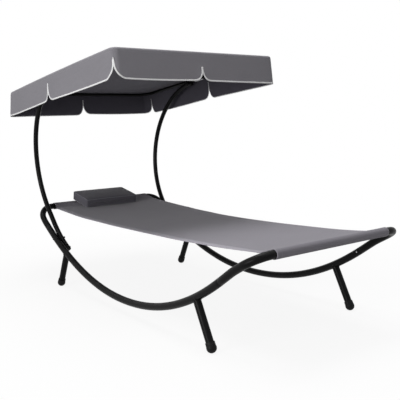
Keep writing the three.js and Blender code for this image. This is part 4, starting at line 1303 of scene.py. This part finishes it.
def valance_wave(distance, fall, near):
    """How far the hanging cloth stands out from its plain flare."""
    loose = (fall / VALANCE_DEPTH) ** 1.4
    wave = 2.4 * wander(distance / 150, 0.3) + 1.1 * wander(distance / 60, 2.2, fall / 90)
    pucker = 0.55 * math.sin(distance / 8.5 + 2 * wander(distance / 90, 9.1)) * math.exp(-fall / 26)
    curl = 2.6 * math.exp(-near / 26) * smoothstep(fall, 40, 125)
    corner = min(abs(distance - c) for c in CORNERS)
    seam = 0.55 * math.exp(-(corner / 2.2) ** 2) if fall > 8 else 0.0
    return wave * loose + pucker + curl + seam


def cloth_column(distance):
    """One station's points on the outside, from the roof's middle out and down to its edge."""
    edge, out = edge_at(distance)
    edge = edge + out * vec(*CLOTH_EASE)
    depth, near = valance_depth(distance)
    bend = TUBE_INSET - 0.2
    rim = edge - out * bend
    column, border = [], []
    for s in np.concatenate([np.linspace(0.04, 0.9, 20), np.linspace(0.93, 1, 4)]):
        x, y = rim * s
        column.append((x, y, -roof_sag(x, y)))
        border.append(((1 - s) * np.linalg.norm(rim) + bend * 1.57, distance))
    for a in np.linspace(0, math.pi / 2, 8)[1:]:
        spot = rim + out * bend * math.sin(a)
        column.append((*spot, -bend * (1 - math.cos(a))))
        border.append((bend * (math.pi / 2 - a), distance))
    flare = VALANCE_FLARE
    flare += CORNER_FLARE * math.exp(-((distance - CORNERS[1]) / CORNER_FLARE_REACH) ** 2)
    for t in np.linspace(0, 1, 17)[1:]:
        fall = bend + (depth - bend) * t
        stand = flare * (fall / VALANCE_DEPTH) + valance_wave(distance, fall, near)
        spot = edge + out * (stand - 0.2)
        column.append((*spot, -fall))
        border.append((fall - bend, distance))
    return [(x, y, z + roof_stand(x)) for x, y, z in column], border


def make_canopy_cloth():
    stations = cloth_stations()
    columns = [cloth_column(s) for s in stations]
    rows, count = len(columns[0][0]), len(stations)
    outer = np.array([[columns[c][0][r] for c in range(count)] for r in range(rows)])
    border = np.array([[columns[c][1][r] for c in range(count)] for r in range(rows)]) * MM
    down = np.gradient(outer, axis=0)
    around = np.roll(outer, -1, 1) - np.roll(outer, 1, 1)
    normals = np.cross(around, down)
    normals /= np.linalg.norm(normals, axis=2)[:, :, None]
    if normals[2, 0, 2] < 0:
        normals = -normals
    inner = outer - normals * CLOTH_PLY
    lift = vec(CANOPY_MIDDLE, 0, ROOF_RISE)
    top = vec(0, 0, roof_stand(0) - roof_sag(0, 0))
    tops = [top, top - vec(0, 0, CLOTH_PLY)]
    points = np.concatenate([outer.reshape(-1, 3), inner.reshape(-1, 3), tops]) + lift
    half = rows * count
    outside = grid_faces(rows, count)
    inside = flipped(grid_faces(rows, count, start=half))
    rim = []
    last = (rows - 1) * count
    for c in range(count):
        d = (c + 1) % count
        outside.append((2 * half, d, c))
        inside.append((2 * half + 1, half + c, half + d))
        rim.append((last + c, last + d, half + last + d, half + last + c))
    faces = outside + inside + rim
    if np.cross(outer[3, 1] - outer[3, 0], outer[4, 0] - outer[3, 0])[2] < 0:
        faces = flipped(faces)
    uv = np.concatenate([border.reshape(-1, 2), border.reshape(-1, 2), [[0.5, 0], [0.5, 0]]])
    cloth = make_piece("canopy_sheet", (from_canopy(points), faces), canopy_cloth, "canopy_cloth", "canopy",
                       sharp=60, border=uv, indices=[0] * len(outside) + [1] * len(inside) + [0] * len(rim))
    binding = make_binding((outer[-1] + inner[-1]) / 2 + lift, normals[-1])
    area = CANOPY_LENGTH * CANOPY_WIDTH
    area += sum(valance_depth(s)[0] for s in np.linspace(0, FULL_ROUND, 2000)) / 2000 * 2 * HALF_ROUND


def make_binding(path, normals):
    """The white tape sewn over the valance's lower edge: up one side of each notch, round its
    top and down the other; most of it lies on the outside."""
    points, rings = [], 0
    before = path - np.roll(path, 1, 0)
    after = np.roll(before, -1, 0)
    upward = np.sign(np.cross(normals, after)[:, 2].sum())
    for p, n, a, b in zip(path, normals, before, after):
        into_a, into_b = upward * unit(np.cross(n, a)), upward * unit(np.cross(n, b))
        turn = math.acos(float(np.clip(np.dot(into_a, into_b), -1, 1)))
        steps = 8 if turn > 1.2 else 1
        for k in range(steps):
            share = (k + 0.5) / steps
            into = into_a * (1 - share) + into_b * share
            if steps > 1:
                third = unit(into_b - into_a * np.dot(into_a, into_b))
                into = into_a * math.cos(turn * share) + third * math.sin(turn * share)
            into = unit(into)
            width = 1.0 if steps == 1 else 1.08
            points += [p + into * along * width + n * off for along, off in BINDING_SECTION]
            rings += 1
    faces = grid_faces(rings, len(BINDING_SECTION), loop_rows=True)
    return make_piece("canopy_binding", (from_canopy(points), faces), white_binding, body="canopy",
                      sharp=None)


# Stage

FLOOR_HALF = 40
LAMPS = (
    ("key", (0.9, -4.6, 1.3), (0.1, 0, 0.7), (2.6, 1.6), 112),
    ("top", (-0.4, -0.2, 4.6), (0.3, 0, 0.4), (2.4, 2.0), 125),
    ("foot", (3.4, -0.2, 4.2), (0.3, 0, 0.8), (1.8, 1.8), 21),
)


def make_stage():
    n = Nodes(bpy.data.materials.new("floor"))
    n.tree.nodes.remove(n.tree.nodes["Principled BSDF"])
    seen = n.seen()
    distance = n.add("VectorMath", n.add("NewGeometry").outputs["Position"])
    distance.operation = "LENGTH"
    share = n.times(seen, n.span(distance.outputs["Value"], 1.0, 2.2, 0.9, 1.0))
    diffuse = n.add("BsdfDiffuse", n.mix(seen, grey(0.5), grey(0.9))).outputs[0]
    glow = n.add("Emission", (1, 1, 1, 1)).outputs[0]
    surface = n.tree.nodes["Material Output"].inputs["Surface"]
    n.put(surface, n.add("MixShader", share, diffuse, glow).outputs[0])
    mesh = bpy.data.meshes.new("floor")
    corners = ((-1, -1), (1, -1), (1, 1), (-1, 1))
    mesh.from_pydata([(x * FLOOR_HALF, y * FLOOR_HALF, 0) for x, y in corners], [], [(0, 1, 2, 3)])
    mesh.materials.append(n.owner)
    new_object("floor", mesh)


def make_world():
    world = bpy.context.scene.world = bpy.data.worlds.new("studio")
    n = Nodes(world)
    back = n.tree.nodes["Background"].inputs
    n.put(back["Color"], (1, 1, 1, 1))
    n.put(back["Strength"], n.span(n.seen(), 0.0, 1.0, 0.24, 1.0))


def make_light(name, place, target, size, power):
    light = bpy.data.lights.new(name, "AREA")
    light.shape = "RECTANGLE"
    light.size, light.size_y = size
    light.energy = power
    aim = Vector(target) - Vector(place)
    turn = aim.to_track_quat("-Z", "Y").to_matrix().to_4x4()
    new_object(name, light).matrix_world = Matrix.Translation(place) @ turn


# The whole lounger

make_rails()
make_joint_screws()
for corner in FRAME_CORNERS:
    make_leg(*corner)
    make_ball_foot(*corner)
make_sling()
make_pillow()
make_poles()
make_pole_bolts()
make_canopy_tubes()
make_pivots()
make_canopy_cloth()
for node_name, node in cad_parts.items():
    if "joiner" in node_name:
        for material_slot in node.material_slots:
            material_slot.material = zinc[0]
make_stage()
make_world()
for lamp in LAMPS:
    make_light(*lamp)
bpy.context.scene.view_settings.view_transform = "Standard"
